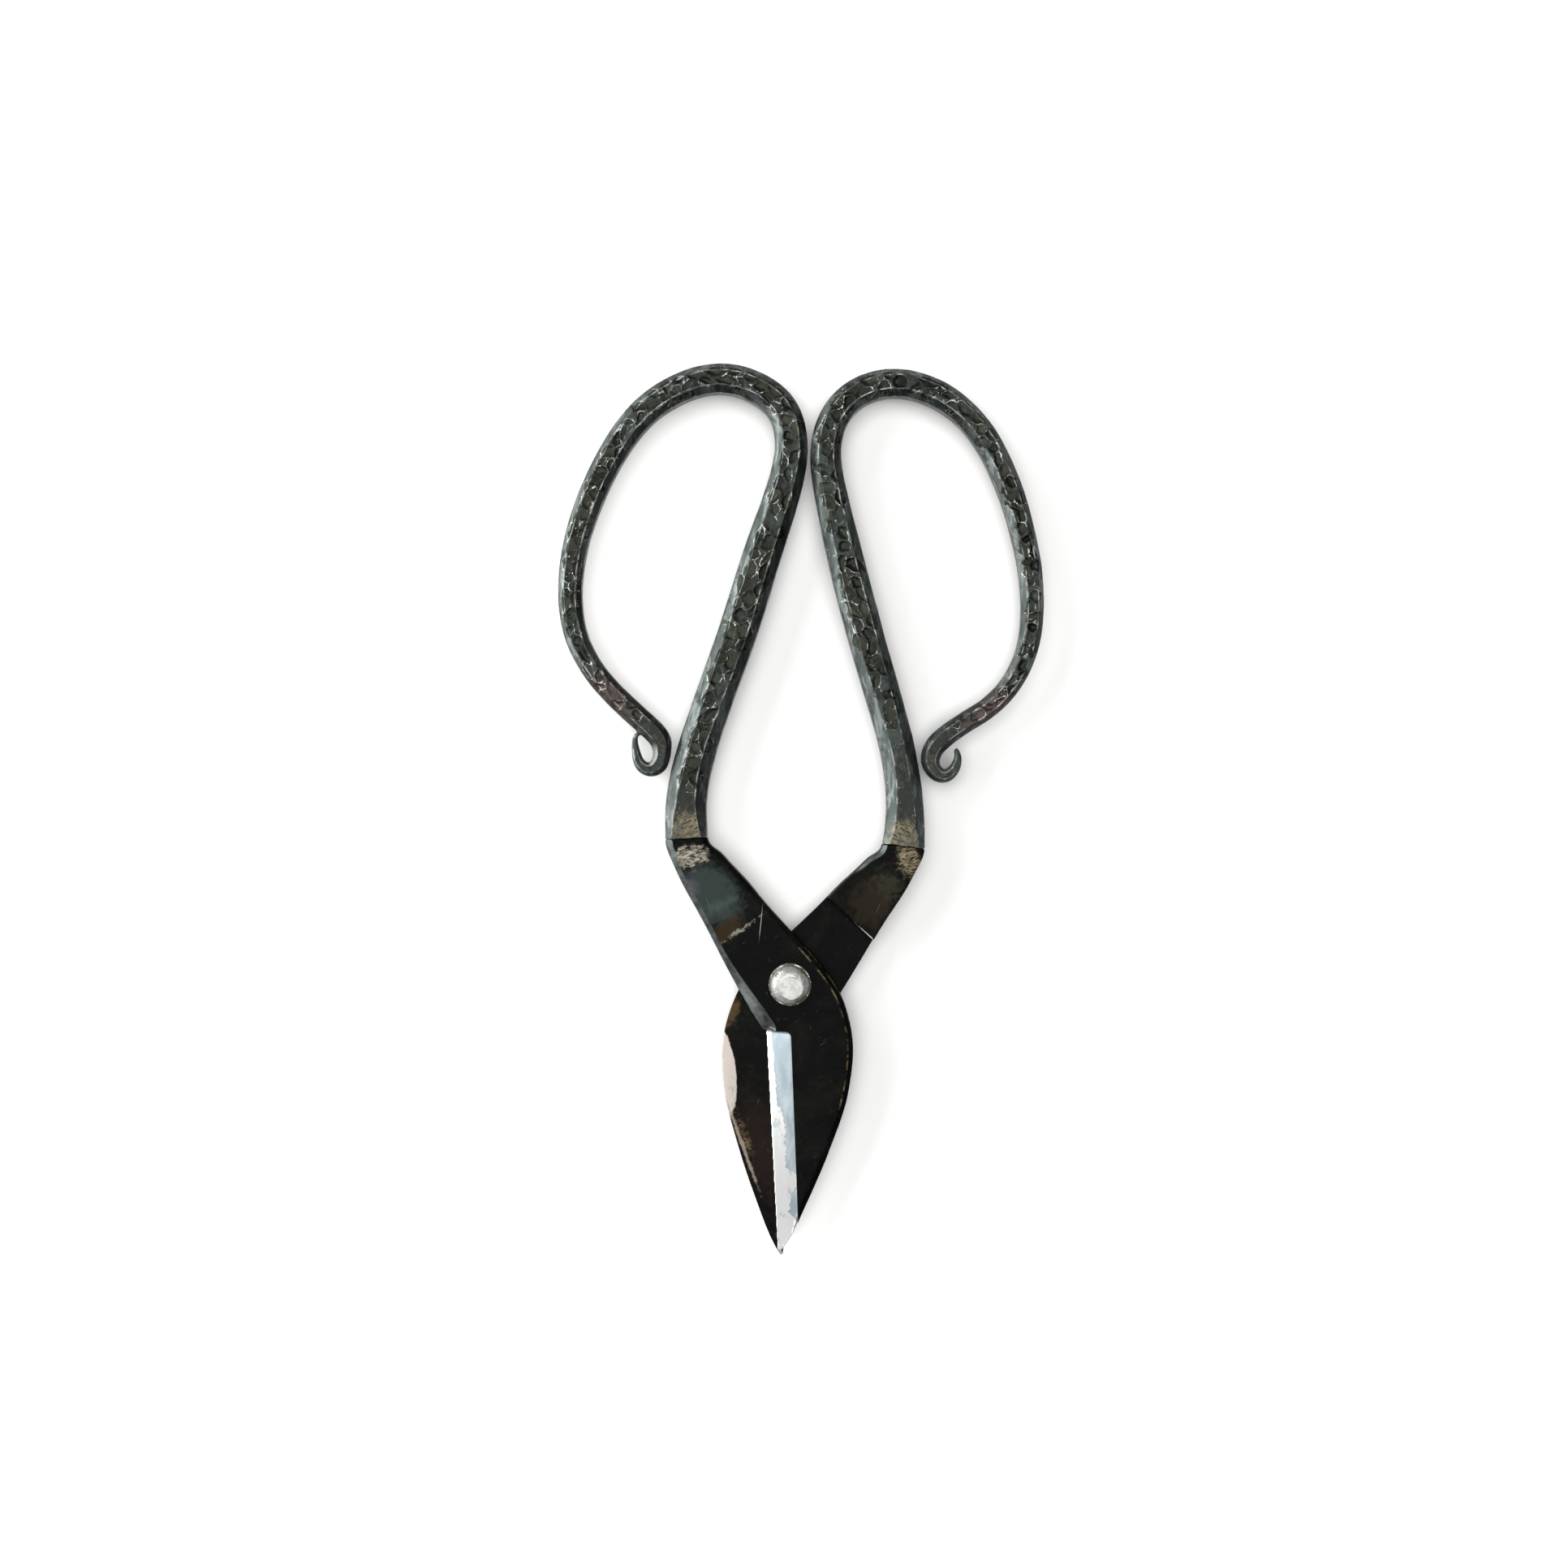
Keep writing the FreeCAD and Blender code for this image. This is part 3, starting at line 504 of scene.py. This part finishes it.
def blade_finish(name, turned, patches):
    """One laminated blade: black scale, a ground bevel, worn corners, rubbed patches, and rubbed
    bare neck edges with a painted highlight.

    Each patch is (centre, reach, turn, colour, ragged, soft, strength, brushed), in the half's
    own frame. A brushed patch is broken into strokes that run at the given turn.
    """
    material, s, surface = new_material(name, Specular_IOR_Level=0.02)
    side = -1 if turned else 1
    place = s.place(s.millimetres(), scale=(side, 1, 1))
    bevel, rim, lamina, gleam = (s.attribute(key) for key in ("bevel", "rim", "lamina", "gleam"))
    scale = s.use(
        FORGE_SCALE, Place=place, Dark=(0.0016, 0.0018, 0.0014), Bloom=(0.0054, 0.0064, 0.0044),
        Rust=(0.011, 0.006, 0.004), Bloom_share=0.35, Rust_share=0.3,
    )
    colour, rough, height = scale["Colour"], scale["Roughness"], scale["Height"]
    bare = 0.0
    for centre, reach, turn, tint, ragged, soft, strength, brushed in patches:
        mask = patch(s, place, centre, reach, turn, ragged, soft)
        mask = s.math("MULTIPLY", mask, strength)
        if brushed:
            strokes = s.use(BRUSHED, Place=s.place(place, turn=-turn))["Mask"]
            mask = s.math("MULTIPLY", mask, strokes)
        colour = s.mix(mask, colour, tint)
        if max(tint) > 0.2:
            bare = s.math("MAXIMUM", bare, mask)
    worn = s.noise(place, 2.4, 5, 0.7)
    corner = s.math("MULTIPLY", s.span(rim, 0.3, 0.1), s.span(worn, 0.42, 0.62, 0.0, 0.8))
    scratch = s.use(SCRATCHES, Place=s.place(place, turn=-20), Share=0.3)["Mask"]
    cross = s.use(SCRATCHES, Place=s.place(place, turn=55, shift=(7, 3, 0)), Share=0.25)["Mask"]
    speck = s.span(s.noise(place, 0.55, 3, 0.6), 0.73, 0.78)
    marks = s.math("MAXIMUM", s.math("MAXIMUM", scratch, cross), s.math("MULTIPLY", speck, 0.7))
    colour = s.mix(corner, colour, (0.17, 0.125, 0.070))
    colour = s.mix(s.math("MULTIPLY", marks, 0.22), colour, (0.25, 0.25, 0.22))
    # The neck's rounded edges (gleam) are rubbed bare metal in a lighter teal, with a painted
    # highlight on them that is brightest near the heel.
    teal = s.mix(s.span(worn, 0.38, 0.62), (0.032, 0.041, 0.039), (0.085, 0.094, 0.091))
    heel_highlight = patch(s, place, (-8.2, -4.6, 6.0), (3.0, 6.5, 5), 27, 1.0, 0.9)
    teal = s.mix(heel_highlight, teal, (0.27, 0.29, 0.285))
    colour = s.mix(gleam, colour, teal)
    wavy = s.math("SUBTRACT", s.noise(place, 1.2, 6, 0.7, 0.5), 0.5)
    broad = s.math("SUBTRACT", s.noise(s.place(place, shift=(9, 4, 0)), 6, 3, 0.6), 0.5)
    edge = s.math("ADD", lamina, s.math("MULTIPLY", wavy, 1.7))
    edge = s.math("ADD", edge, s.math("MULTIPLY", broad, 2.2))
    hard = s.span(edge, -0.08, 0.08)
    ground, ground_rough, ground_height = ground_steel(s, place, hard)
    seam = s.math("MULTIPLY", s.span(edge, -0.22, -0.05), s.span(edge, 0.1, 0.0))
    ground = s.mix(s.math("MULTIPLY", seam, 0.5), ground, (0.20, 0.22, 0.24))
    on_bevel = s.span(bevel, -0.03, 0.05)
    s.put(surface["Base Color"], s.mix(on_bevel, colour, ground))
    # The metallic share covers the bare patches and the rubbed neck edges that carry the painted
    # highlight.
    bare_and_gleam = s.math("MAXIMUM", s.math("MULTIPLY", bare, 0.25), s.math("MULTIPLY", gleam, 0.9))
    s.put(surface["Metallic"], s.math("MAXIMUM", s.math("MULTIPLY", on_bevel, 0.8), bare_and_gleam))
    rough = s.blend(s.math("MAXIMUM", bare, gleam), rough, 0.4)
    s.put(surface["Roughness"], s.blend(on_bevel, rough, ground_rough))
    bump(s, surface, s.blend(on_bevel, height, ground_height), 0.035)
    return material


def rivet_finish():
    """Hammered bright steel with grime in its hollows, darker towards its rim, and painted shade
    on the head's lower right.
    """
    material, s, surface = new_material("hammered_rivet", Specular_IOR_Level=0.5)
    place = s.millimetres()
    reach = s.node("ShaderNodeVectorMath", operation="LENGTH")
    s.put(reach.inputs[0], s.place(place, scale=(1, 1, 0)))
    grime = s.noise(place, 1.6, 5, 0.7, 0.3)
    rim = s.span(reach.outputs["Value"], 2.6, 4.1)
    # Painted shade on the lower right of the head, added with the darkening towards the rim.
    lower_right_shade = patch(s, place, (2.0, -2.2, 10), (2.6, 2.2, 9), -45, 1.0, 0.9)
    rim = s.math("ADD", s.math("MULTIPLY", rim, 0.16), s.math("MULTIPLY", lower_right_shade, 0.12))
    # dirty holds the grime together with the rim darkening and the painted shade.
    dirty = s.span(s.math("ADD", grime, rim), 0.58, 0.72)
    tint = s.mix(s.span(grime, 0.4, 0.6), (0.29, 0.29, 0.28), (0.41, 0.41, 0.395))
    s.put(surface["Base Color"], s.mix(dirty, tint, (0.13, 0.115, 0.07)))
    s.put(surface["Metallic"], s.span(dirty, 0.0, 1.0, 0.55, 0.35))
    s.put(surface["Roughness"], s.span(dirty, 0.0, 1.0, 0.4, 0.5))
    fine = s.noise(place, 0.35, 4, 0.6)
    bump(s, surface, fine, 0.03)
    return material


def washer_finish():
    """Plain bright washer, dulled and oily."""
    material, s, surface = new_material("washer_steel", Specular_IOR_Level=0.5)
    place = s.millimetres()
    grime = s.noise(place, 1.2, 5, 0.7, 0.3)
    dirty = s.span(grime, 0.36, 0.54)
    s.put(surface["Base Color"], s.mix(dirty, (0.42, 0.42, 0.40), (0.06, 0.055, 0.045)))
    s.put(surface["Metallic"], s.span(dirty, 0.0, 1.0, 1.0, 0.5))
    s.put(surface["Roughness"], s.span(dirty, 0.0, 1.0, 0.32, 0.55))
    bump(s, surface, s.noise(place, 0.3, 3, 0.6), 0.02)
    return material


# ---------------------------------------------------------------- pieces


# A dent's reach as a share of the gap between dents, and how far outside it its rim goes.
DENT_REACH = 0.76
RIM = -0.14


class Dent:
    """A flake-shaped dent: two arcs that meet in points, and a tilted floor."""

    def __init__(self, middle, heading, rng, reach):
        self.middle = middle
        turn = heading + rng.normal(0, 0.5)
        self.way = np.array((math.cos(turn), math.sin(turn)))
        self.length = reach * rng.uniform(0.7, 1.5)
        self.width = reach * rng.uniform(0.45, 0.95)
        self.depth = rng.uniform(0.22, 0.46)
        self.tilt = rng.normal(0, 0.12, 2)
        self.tone = rng.random()

    def measure(self, places):
        """How far inside its outline each place lies, and how deep its floor is there."""
        away = places[:, :2] - self.middle[:2]
        along = away @ self.way
        aside = away @ np.array((-self.way[1], self.way[0]))
        inside = self.width * (1 - (along / self.length) ** 2) - np.abs(aside)
        floor = self.depth + self.tilt[0] * along + self.tilt[1] * aside
        bowl = 0.35 + 0.65 * ease(0, 0.9 * self.width, inside)
        return inside, np.clip(floor * bowl, 0.04, 0.5)


def scatter_dents(places, facing, apart, rng):
    """Dents set at random over the flat places, no two middles closer than apart allows."""
    order = rng.permutation(len(places))
    chosen = np.empty((0, 3))
    dents = []
    for n in order:
        place, gap = places[n], apart[n]
        if len(chosen) and np.min(np.linalg.norm(chosen - place, axis=1)) < gap:
            continue
        chosen = np.vstack((chosen, place))
        near = places[(np.linalg.norm(places - place, axis=1) < 4) & (facing == facing[n])]
        spread = near[:, :2] - near[:, :2].mean(axis=0)
        _, axes = np.linalg.eigh(spread.T @ spread)
        heading = math.atan2(axes[1, 1], axes[0, 1])
        dents.append(Dent(place, heading, rng, gap * DENT_REACH))
    return dents


def dent_field(places, normals, dents):
    """How far inside a dent each place lies (below zero is outside), its depth and its tone."""
    field = np.full(len(places), -1.0)
    depth = np.zeros(len(places))
    tone = np.zeros(len(places))
    side = np.sign(normals[:, 2])
    for dent in dents:
        near = np.flatnonzero(
            (np.linalg.norm(places - dent.middle, axis=1) < 3.4) & (side == np.sign(dent.facing))
        )
        inside, floor = dent.measure(places[near])
        take = inside > RIM
        hit = near[take]
        field[hit] = inside[take]
        tone[hit] = dent.tone
        wall = ease(-0.02, 0.16, inside[take])
        depth[hit] = depth[hit] * (1 - ease(RIM, 0.0, inside[take])) + wall * floor[take]
        edge = (inside <= RIM) & (inside > field[near])
        field[near[edge]] = inside[edge]
    return field, depth, tone


def warped(blank, seed):
    """The piece's places, shaken a little so that what's drawn by them comes out ragged."""
    places = blank.points.copy()
    for size, reach in ((1.2, 0.34), (0.5, 0.14)):
        places[:, 0] += blank.noise(size, seed) * reach
        places[:, 1] += blank.noise(size, seed + 17.0) * reach
    return places


def tail_middle(node):
    """The middle of a bar's curled end, in millimetres across and up."""
    low, high = (Vector(corner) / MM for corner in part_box(node))
    return (low.x + 20, low.y + 18.5) if node == "front_handle" else (high.x - 19, low.y + 18.5)


HANDLE_LOW, HANDLE_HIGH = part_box("front_handle")
HANDLE_MIDDLE = (HANDLE_LOW[2] + HANDLE_HIGH[2]) / 2 / MM
# The middle of the seam between a neck and its bar, in the half's own frame.
SEAM_MIDDLE = (-21.9, 28.4)
# The front curl nearly touches its bar twice. It's eased off there, or the skin bridges the gaps.
FRONT_GAPS = (
    (((40.5, -27.0), (42, -26.19), (43, -25.73), (44, -25.40), (45, -25.16), (45.8, -25.02),
      (46.6, -24.94), (47.5, -24.89), (49.2, -24.95)), (-25.3, 45.1), (-0.36, 0.06)),
    (((46.5, -31.2), (47.5, -31.34), (48.5, -31.86), (49.5, -32.76), (49.95, -33.3)),
     (-33.0, 49.8), (-0.26, -0.31)),
)


def hammered_bar(name, node, body, seed, start, gaps, material):
    """A handle's bar: uneven all over, and dented on its upper and lower facets.

    The dents begin at start, in millimetres up the page.
    """
    blank = Blank(name, [node], BAR_SKIN, gaps)
    corner_lines = corner_points([node], lambda middle, way: True)
    rng = np.random.default_rng(seed)
    tail = tail_middle(node)

    def where_dented():
        away = np.hypot(blank.points[:, 0] - tail[0], blank.points[:, 1] - tail[1])
        along = ease(start, start + 5, blank.points[:, 1])
        return along * ease(4.5, 8.0, away)

    flat = np.flatnonzero((np.abs(blank.normals[:, 2]) > 0.97) & (where_dented() > 0.4))
    places, facing = blank.points[flat], np.sign(blank.normals[flat, 2])
    far = np.abs(places[:, 0])
    apart = 2.35 - 0.5 * ease(22, 42, far) + 0.5 * rng.random(len(flat))
    dents = scatter_dents(places, facing, apart, rng)
    for dent in dents:
        dent.facing = 1 if dent.middle[2] > HANDLE_MIDDLE else -1
    field, depth, tone = dent_field(warped(blank, seed), blank.normals, dents)
    tilt = np.abs(blank.normals[:, 2])
    mask = ease(0.62, 0.86, tilt) * where_dented()
    blank.store("flank", ease(0.93, 0.82, tilt))
    blank.store("corner", np.clip(distances(corner_lines, blank.points), 0, 2))
    blank.store("tone", tone)
    blank.store("dent", np.where(mask > 0.3, field, np.minimum(field, -0.3)))
    uneven = 0.07 * blank.noise(7.0, seed + 3) + 0.03 * blank.noise(2.6, seed + 9)
    gritty = 0.025 * blank.noise(0.6, seed + 5) * ease(0, 0.2, field)
    seam = blank.points[:, 1].min()
    inset = 0.02 + 0.98 * ease(0.1, 1.4, blank.points[:, 1] - seam)
    blank.push(np.minimum(uneven + gritty - 0.10 - mask * depth, 0) * inset)
    return blank.finish(body, material)


def beyond(x, y, line):
    """Above zero for places on the outer side of the neck's middle line."""
    return (x - SEAM_MIDDLE[0]) * line[1] - (y - SEAM_MIDDLE[1]) * line[0]


def forged_blade(name, half, body, material):
    """A blade with its neck and its edge, its corners knocked back and its faces uneven."""
    nodes = [f"{half}_blade", f"{half}_edge_steel"]
    blank = Blank(name, nodes, BLADE_SKIN)
    side = 1 if half == "front" else -1
    steel_low, steel_high = (Vector(corner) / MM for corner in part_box(nodes[1]))
    low, high = (Vector(corner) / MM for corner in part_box(nodes[0]))
    heel_x = steel_low.x if side > 0 else -steel_high.x
    heel_y, point_y = steel_high.y, steel_low.y
    outer_z = high.z if side > 0 else low.z
    lap_z = steel_low.z if side > 0 else steel_high.z
    plate = (outer_z - lap_z) * side
    neck = plate * 2 + LAP_GAP
    x = blank.points[:, 0] * side
    y = blank.points[:, 1]
    out = (blank.points[:, 2] - lap_z) * side

    # How far into the ground bevel a point lies: the strip narrows to the point.
    down = np.clip((heel_y - y) / (heel_y - point_y), -1, 1)
    across = x - (heel_x + (-0.6 - heel_x) * down)
    inside = BEVEL_TOP + (BEVEL_POINT - BEVEL_TOP) * down - across
    below = heel_y - y
    past_corner = np.minimum(inside - BEVEL_CORNER, 0), np.minimum(below - BEVEL_CORNER, 0)
    rounded = BEVEL_CORNER - np.hypot(*past_corner)
    bevel = np.minimum(np.minimum(inside, below), rounded)
    bevel = np.where(blank.normals[:, 2] * side > 0.2, bevel, -1.0)
    steps = (-heel_y, 24, 29, 33, 37, 39, 42, 46, 50)
    hard = np.interp(-y, steps, (1.0, 1.6, 3.0, 3.0, 2.3, 5.5, 3.6, 2.9, 6)) - across

    line = np.array((-2.0 - SEAM_MIDDLE[0], heel_y - SEAM_MIDDLE[1]))
    line /= np.linalg.norm(line)

    def walls(outer):
        """Each point's distance, across the page, to the neck's outer or inner wall."""
        def wanted(middle, way):
            away = beyond(middle.x * side, middle.y, line) * (1 if outer else -1)
            level = abs(way.x * side * line[0] + way.y * line[1])
            return middle.y > heel_y - 0.1 and away > 2.2 and level > 0.6

        points = corner_points(nodes, wanted, upright=True)
        return distances([Vector((p.x, p.y, 0)) for p in points], blank.points * (1, 1, 0))

    near_seam = ease(SEAM_MIDDLE[1] - 6.5, SEAM_MIDDLE[1] - 0.5, y)
    outer_wall, inner_wall = walls(True), walls(False)
    inward = np.array((-line[1], line[0])) * (side, 1)
    face_down, lap_up = plate - out, out + neck - plate
    toward_notch = ease(8, heel_y + 1, y) * (y > heel_y - 0.2)
    # gleam marks the cut-back neck edges, which are rubbed bare; the finish also paints a
    # highlight on them.
    gleam = np.zeros(len(x))
    on_neck = (y > heel_y - 0.2) & (beyond(x, y, line) > 0)
    cuts = (
        (outer_wall, face_down, on_neck * (1.2 + 0.4 * near_seam + 1.7 * toward_notch), 1, -1, 1),
        (inner_wall, face_down, 1.0 * near_seam, -1, -1, 0),
        (outer_wall, lap_up, 1.2 * near_seam, 1, 1, 0),
        (inner_wall, lap_up, (y > 12) * (0.3 + 0.7 * ease(18, 27, y)), -1, 1, 1),
    )
    ribbed = np.zeros(len(x))
    for wall, depth, width, way, rise, rubbed_and_gleaming in cuts:
        cut = np.where(width > 0.05, np.maximum(width - wall - np.maximum(depth, 0), 0), 0) * 0.5
        blank.points[:, 0] += inward[0] * way * cut
        blank.points[:, 1] += inward[1] * way * cut
        blank.points[:, 2] += side * rise * cut
        gleam = np.maximum(gleam, ease(0.03, 0.12, cut) * rubbed_and_gleaming)
        ribbed = np.maximum(ribbed, cut)
    blank.write()
    blank.smooth(3, ribbed > 0.02)
    blank.read()

    # The rest of the sculpting keeps off the lapped faces and the ground bevel.
    flat = ease(0.25, 0.5, out) + ease(-0.2, -0.45, out)
    lumps = blank.noise(9, side * 4.0) * 0.05 + blank.noise(2.2, side * 8.0) * 0.018
    blank.push(ease(0.0, 0.4, -bevel) * flat * (lumps - 0.06))

    def on_rim(middle, _):
        return abs(middle.z - outer_z) < 0.6 and middle.x * side > 2

    rim_points = corner_points(nodes, on_rim)
    blank.store("bevel", np.clip(bevel, -1, 5))
    blank.store("rim", np.clip(distances(rim_points, blank.points), 0, 3))
    blank.store("lamina", np.clip(hard, -6, 6))
    blank.store("gleam", gleam)
    return blank.finish(body, material)


def hammered_rivet(material):
    """The rivet: its dome and foot carry hammer facets, and its crown is struck flat."""
    blank = Blank("hammered_rivet", ["rivet"], RIVET_SKIN)
    facets = np.array([
        min(np.subtract(*reversed(noise.voronoi(Vector((x / 1.3, y / 1.3, z / 2.5)))[0][:2])), 0.5)
        for x, y, z in blank.points
    ])
    x, y = blank.points[:, 0], blank.points[:, 1]
    reach = np.hypot(x, y)
    on_dome = ease(0.2, 0.5, np.abs(blank.normals[:, 2])) * ease(1.2, 1.7, reach)
    radial = np.cos(np.arctan2(y, x) * 37 + 4 * facets) * ease(1.8, 3.2, reach)
    dig = on_dome * (0.05 - 0.08 * facets + 0.014 * radial)
    outside = ease(2.3, 2.6, reach)
    blank.push(-np.clip(dig, 0, 1) - outside * (0.02 + 0.02 * blank.noise(1.5, 2.0)))
    top = blank.points[:, 2].max()
    crown = np.hypot(x - 0.3, y + 0.45)
    level = top - 0.13 - 0.03 * (x - 0.3) + 0.03 * (y + 0.45)
    flat = (crown < 2.2) & (blank.points[:, 2] > level)
    blank.points[flat, 2] = level[flat]
    blank.write()
    return blank.finish("back_half", material)


def worn_washer(name, node, material):
    """A washer, its outer edge knocked back unevenly."""
    blank = Blank(name, [node], RIVET_SKIN)
    reach = np.hypot(blank.points[:, 0], blank.points[:, 1])
    blank.push(-ease(3.6, 4.2, reach) * (0.05 + 0.05 * blank.noise(1.2, 5.0)))
    return blank.finish("back_half", material)


FRONT_PATCHES = (
    # blue-green bloom on the neck, violet at its outer side, rust where the black begins
    ((-16.2, 17.4, 7.9), (6.4, 9.0, 3), 40, (0.029, 0.039, 0.036), 1.0, 0.5, 0.9, False),
    ((-14.8, 15.2, 7.9), (4.8, 1.6, 3), 25, (0.050, 0.068, 0.064), 2.6, 0.9, 0.6, False),
    ((-20.8, 18.6, 7.9), (2.6, 2.8, 3), 0, (0.075, 0.075, 0.095), 1.2, 0.9, 0.7, False),
    ((-13.0, 10.4, 7.9), (5.4, 2.5, 3), 38, (0.027, 0.018, 0.0085), 1.2, 0.6, 0.85, False),
    # the flakes and scratches along that border
    ((-9.4, 11.2, 7.9), (5.2, 0.5, 3), 36, (0.34, 0.32, 0.27), 5.0, 0.5, 0.6, True),
    ((-6.3, 12.0, 7.9), (0.10, 4.4, 3), -4, (0.40, 0.39, 0.36), 0.6, 0.6, 0.6, False),
    # the weld, brushed bare
    ((-21.2, 24.9, 7.9), (4.4, 2.6, 3), 12, (0.36, 0.33, 0.26), 1.8, 0.35, 0.9, True),
)
BACK_PATCHES = (
    ((-16.0, 17.0, 7.9), (7.0, 7.5, 3), 0, (0.017, 0.0125, 0.0080), 1.6, 0.7, 0.85, False),
    ((-18.8, 20.6, 7.9), (5.0, 3.6, 3), 40, (0.030, 0.030, 0.019), 2.8, 0.9, 0.6, False),
    ((-8.6, 13.6, 7.9), (3.0, 1.8, 3), 40, (0.026, 0.032, 0.024), 2.4, 0.9, 0.7, False),
    ((-23.2, 25.6, 7.9), (3.0, 4.6, 3), -20, (0.25, 0.205, 0.125), 2.2, 0.5, 0.85, True),
    ((-14.4, 11.0, 7.9), (4.0, 0.34, 3), 38.6, (0.55, 0.55, 0.50), 1.2, 0.5, 0.85, False),
    ((-7.0, 15.2, 7.9), (1.1, 0.7, 3), 40, (0.30, 0.33, 0.26), 2.0, 0.5, 0.8, False),
    # the flat of the other blade, ground along its back, then rubbed to the point
    ((12.9, -18.4, 4.8), (2.7, 9.4, 1.4), -9, (0.40, 0.360, 0.328), 0.3, 0.08, 1.0, False),
    ((5.0, -33.0, 4.8), (5.0, 17.0, 1.4), -15, (0.013, 0.0080, 0.0068), 1.6, 0.8, 0.9, False),
    ((8.2, -31.6, 4.8), (1.5, 6.6, 1.4), -23, (0.15, 0.105, 0.056), 3.4, 1.2, 0.95, True),
    ((8.9, -32.0, 4.8), (0.5, 13.0, 1.4), -22, (0.25, 0.21, 0.17), 1.8, 0.6, 0.7, False),
    ((11.6, -6.4, 4.8), (1.6, 3.6, 1.4), 20, (0.070, 0.045, 0.022), 2.4, 0.6, 0.8, False),
    # the point, worn grey where it stands past the other blade
    ((0.0, -55.3, 4.8), (1.6, 1.3, 3.0), 0, (0.30, 0.31, 0.30), 0.4, 0.5, 0.9, False),
)

front_scale, back_scale = bar_finish("front_bar_scale", False), bar_finish("back_bar_scale", True)
hammered_bar("front_bar", "front_handle", "front_half", 2, 36, FRONT_GAPS, front_scale)
hammered_bar("back_bar", "back_handle", "back_half", 5, 50, (), back_scale)
front_iron = blade_finish("front_blade_iron", False, FRONT_PATCHES)
back_iron = blade_finish("back_blade_iron", True, BACK_PATCHES)
forged_blade("front_forging", "front", "front_half", front_iron)
forged_blade("back_forging", "back", "back_half", back_iron)
hammered_rivet(rivet_finish())
washer_steel = washer_finish()
worn_washer("front_ring", "front_washer", washer_steel)
worn_washer("back_ring", "back_washer", washer_steel)


# ---------------------------------------------------------------- floor, light, camera


def pale_floor():
    """The table, a hair below the rivet's foot."""
    bm = bmesh.new()
    below = Matrix.Translation((0, 0, -0.1 * MM))
    bmesh.ops.create_grid(bm, x_segments=2, y_segments=2, size=3, matrix=below)
    mesh = bpy.data.meshes.new("floor")
    bm.to_mesh(mesh)
    bm.free()
    floor = bpy.data.objects.new("floor", mesh)
    bpy.context.scene.collection.objects.link(floor)
    material, s, surface = new_material("pale_floor", Roughness=0.9, Specular_IOR_Level=0.1)
    s.put(surface["Base Color"], (0.88, 0.875, 0.865))
    mesh.materials.append(material)


def softbox(name, place, target, width, height, power, diffuse=1.0, specular=1.0):
    """A soft rectangular lamp aimed at a target."""
    lamp = bpy.data.lights.new(name, "AREA")
    lamp.shape = "RECTANGLE"
    lamp.size, lamp.size_y = width, height
    lamp.energy = power
    lamp.diffuse_factor = diffuse
    lamp.specular_factor = specular
    made = bpy.data.objects.new(name, lamp)
    bpy.context.scene.collection.objects.link(made)
    made.location = place
    aim = Vector(target) - Vector(place)
    made.rotation_euler = aim.to_track_quat("-Z", "Y").to_euler()


def soft_light():
    """A low and a high lamp at the left, a wide one above, and a dim room."""
    world = bpy.data.worlds.new("studio")
    bpy.context.scene.world = world
    world.use_nodes = True
    background = world.node_tree.nodes["Background"].inputs
    background["Color"].default_value = (1, 1, 1, 1)
    background["Strength"].default_value = 0.10
    middle = (0, 0.04, 0)
    softbox("sill", (-1.1, 0.3, 0.12), middle, 1.5, 0.24, 14, 0.1, 3.6)
    softbox("window", (-1.0, 0.35, 0.52), middle, 1.5, 0.6, 14, 0.3, 1.1)
    softbox("ceiling", (-0.05, 0.1, 1.7), middle, 1.8, 1.8, 37, 1.0, 0.02)


LEAN = 2.05
CAMERA_HEIGHT, HALF_VIEW = 0.335, 0.1585
CAMERA_OVER = (-0.00265, 0.0401)
TABLE_TO_FOCUS = 0.005


def camera_above():
    """Looks straight down on the shears, which lean a little to the right."""
    lean = math.radians(LEAN)
    up = Vector((-math.sin(lean), math.cos(lean), 0))
    right = Vector((math.cos(lean), math.sin(lean), 0))
    lens = bpy.data.cameras.new("camera")
    lens.angle = 2 * math.atan(HALF_VIEW / CAMERA_HEIGHT)
    lens.clip_start = 0.01
    camera = bpy.data.objects.new("camera", lens)
    bpy.context.scene.collection.objects.link(camera)
    place = Matrix((right, up, Vector((0, 0, 1)))).transposed().to_4x4()
    place.translation = (*CAMERA_OVER, TABLE_TO_FOCUS + CAMERA_HEIGHT)
    camera.matrix_world = place
    bpy.context.scene.camera = camera


pale_floor()
soft_light()
camera_above()
bpy.context.scene.view_settings.view_transform = "Standard"
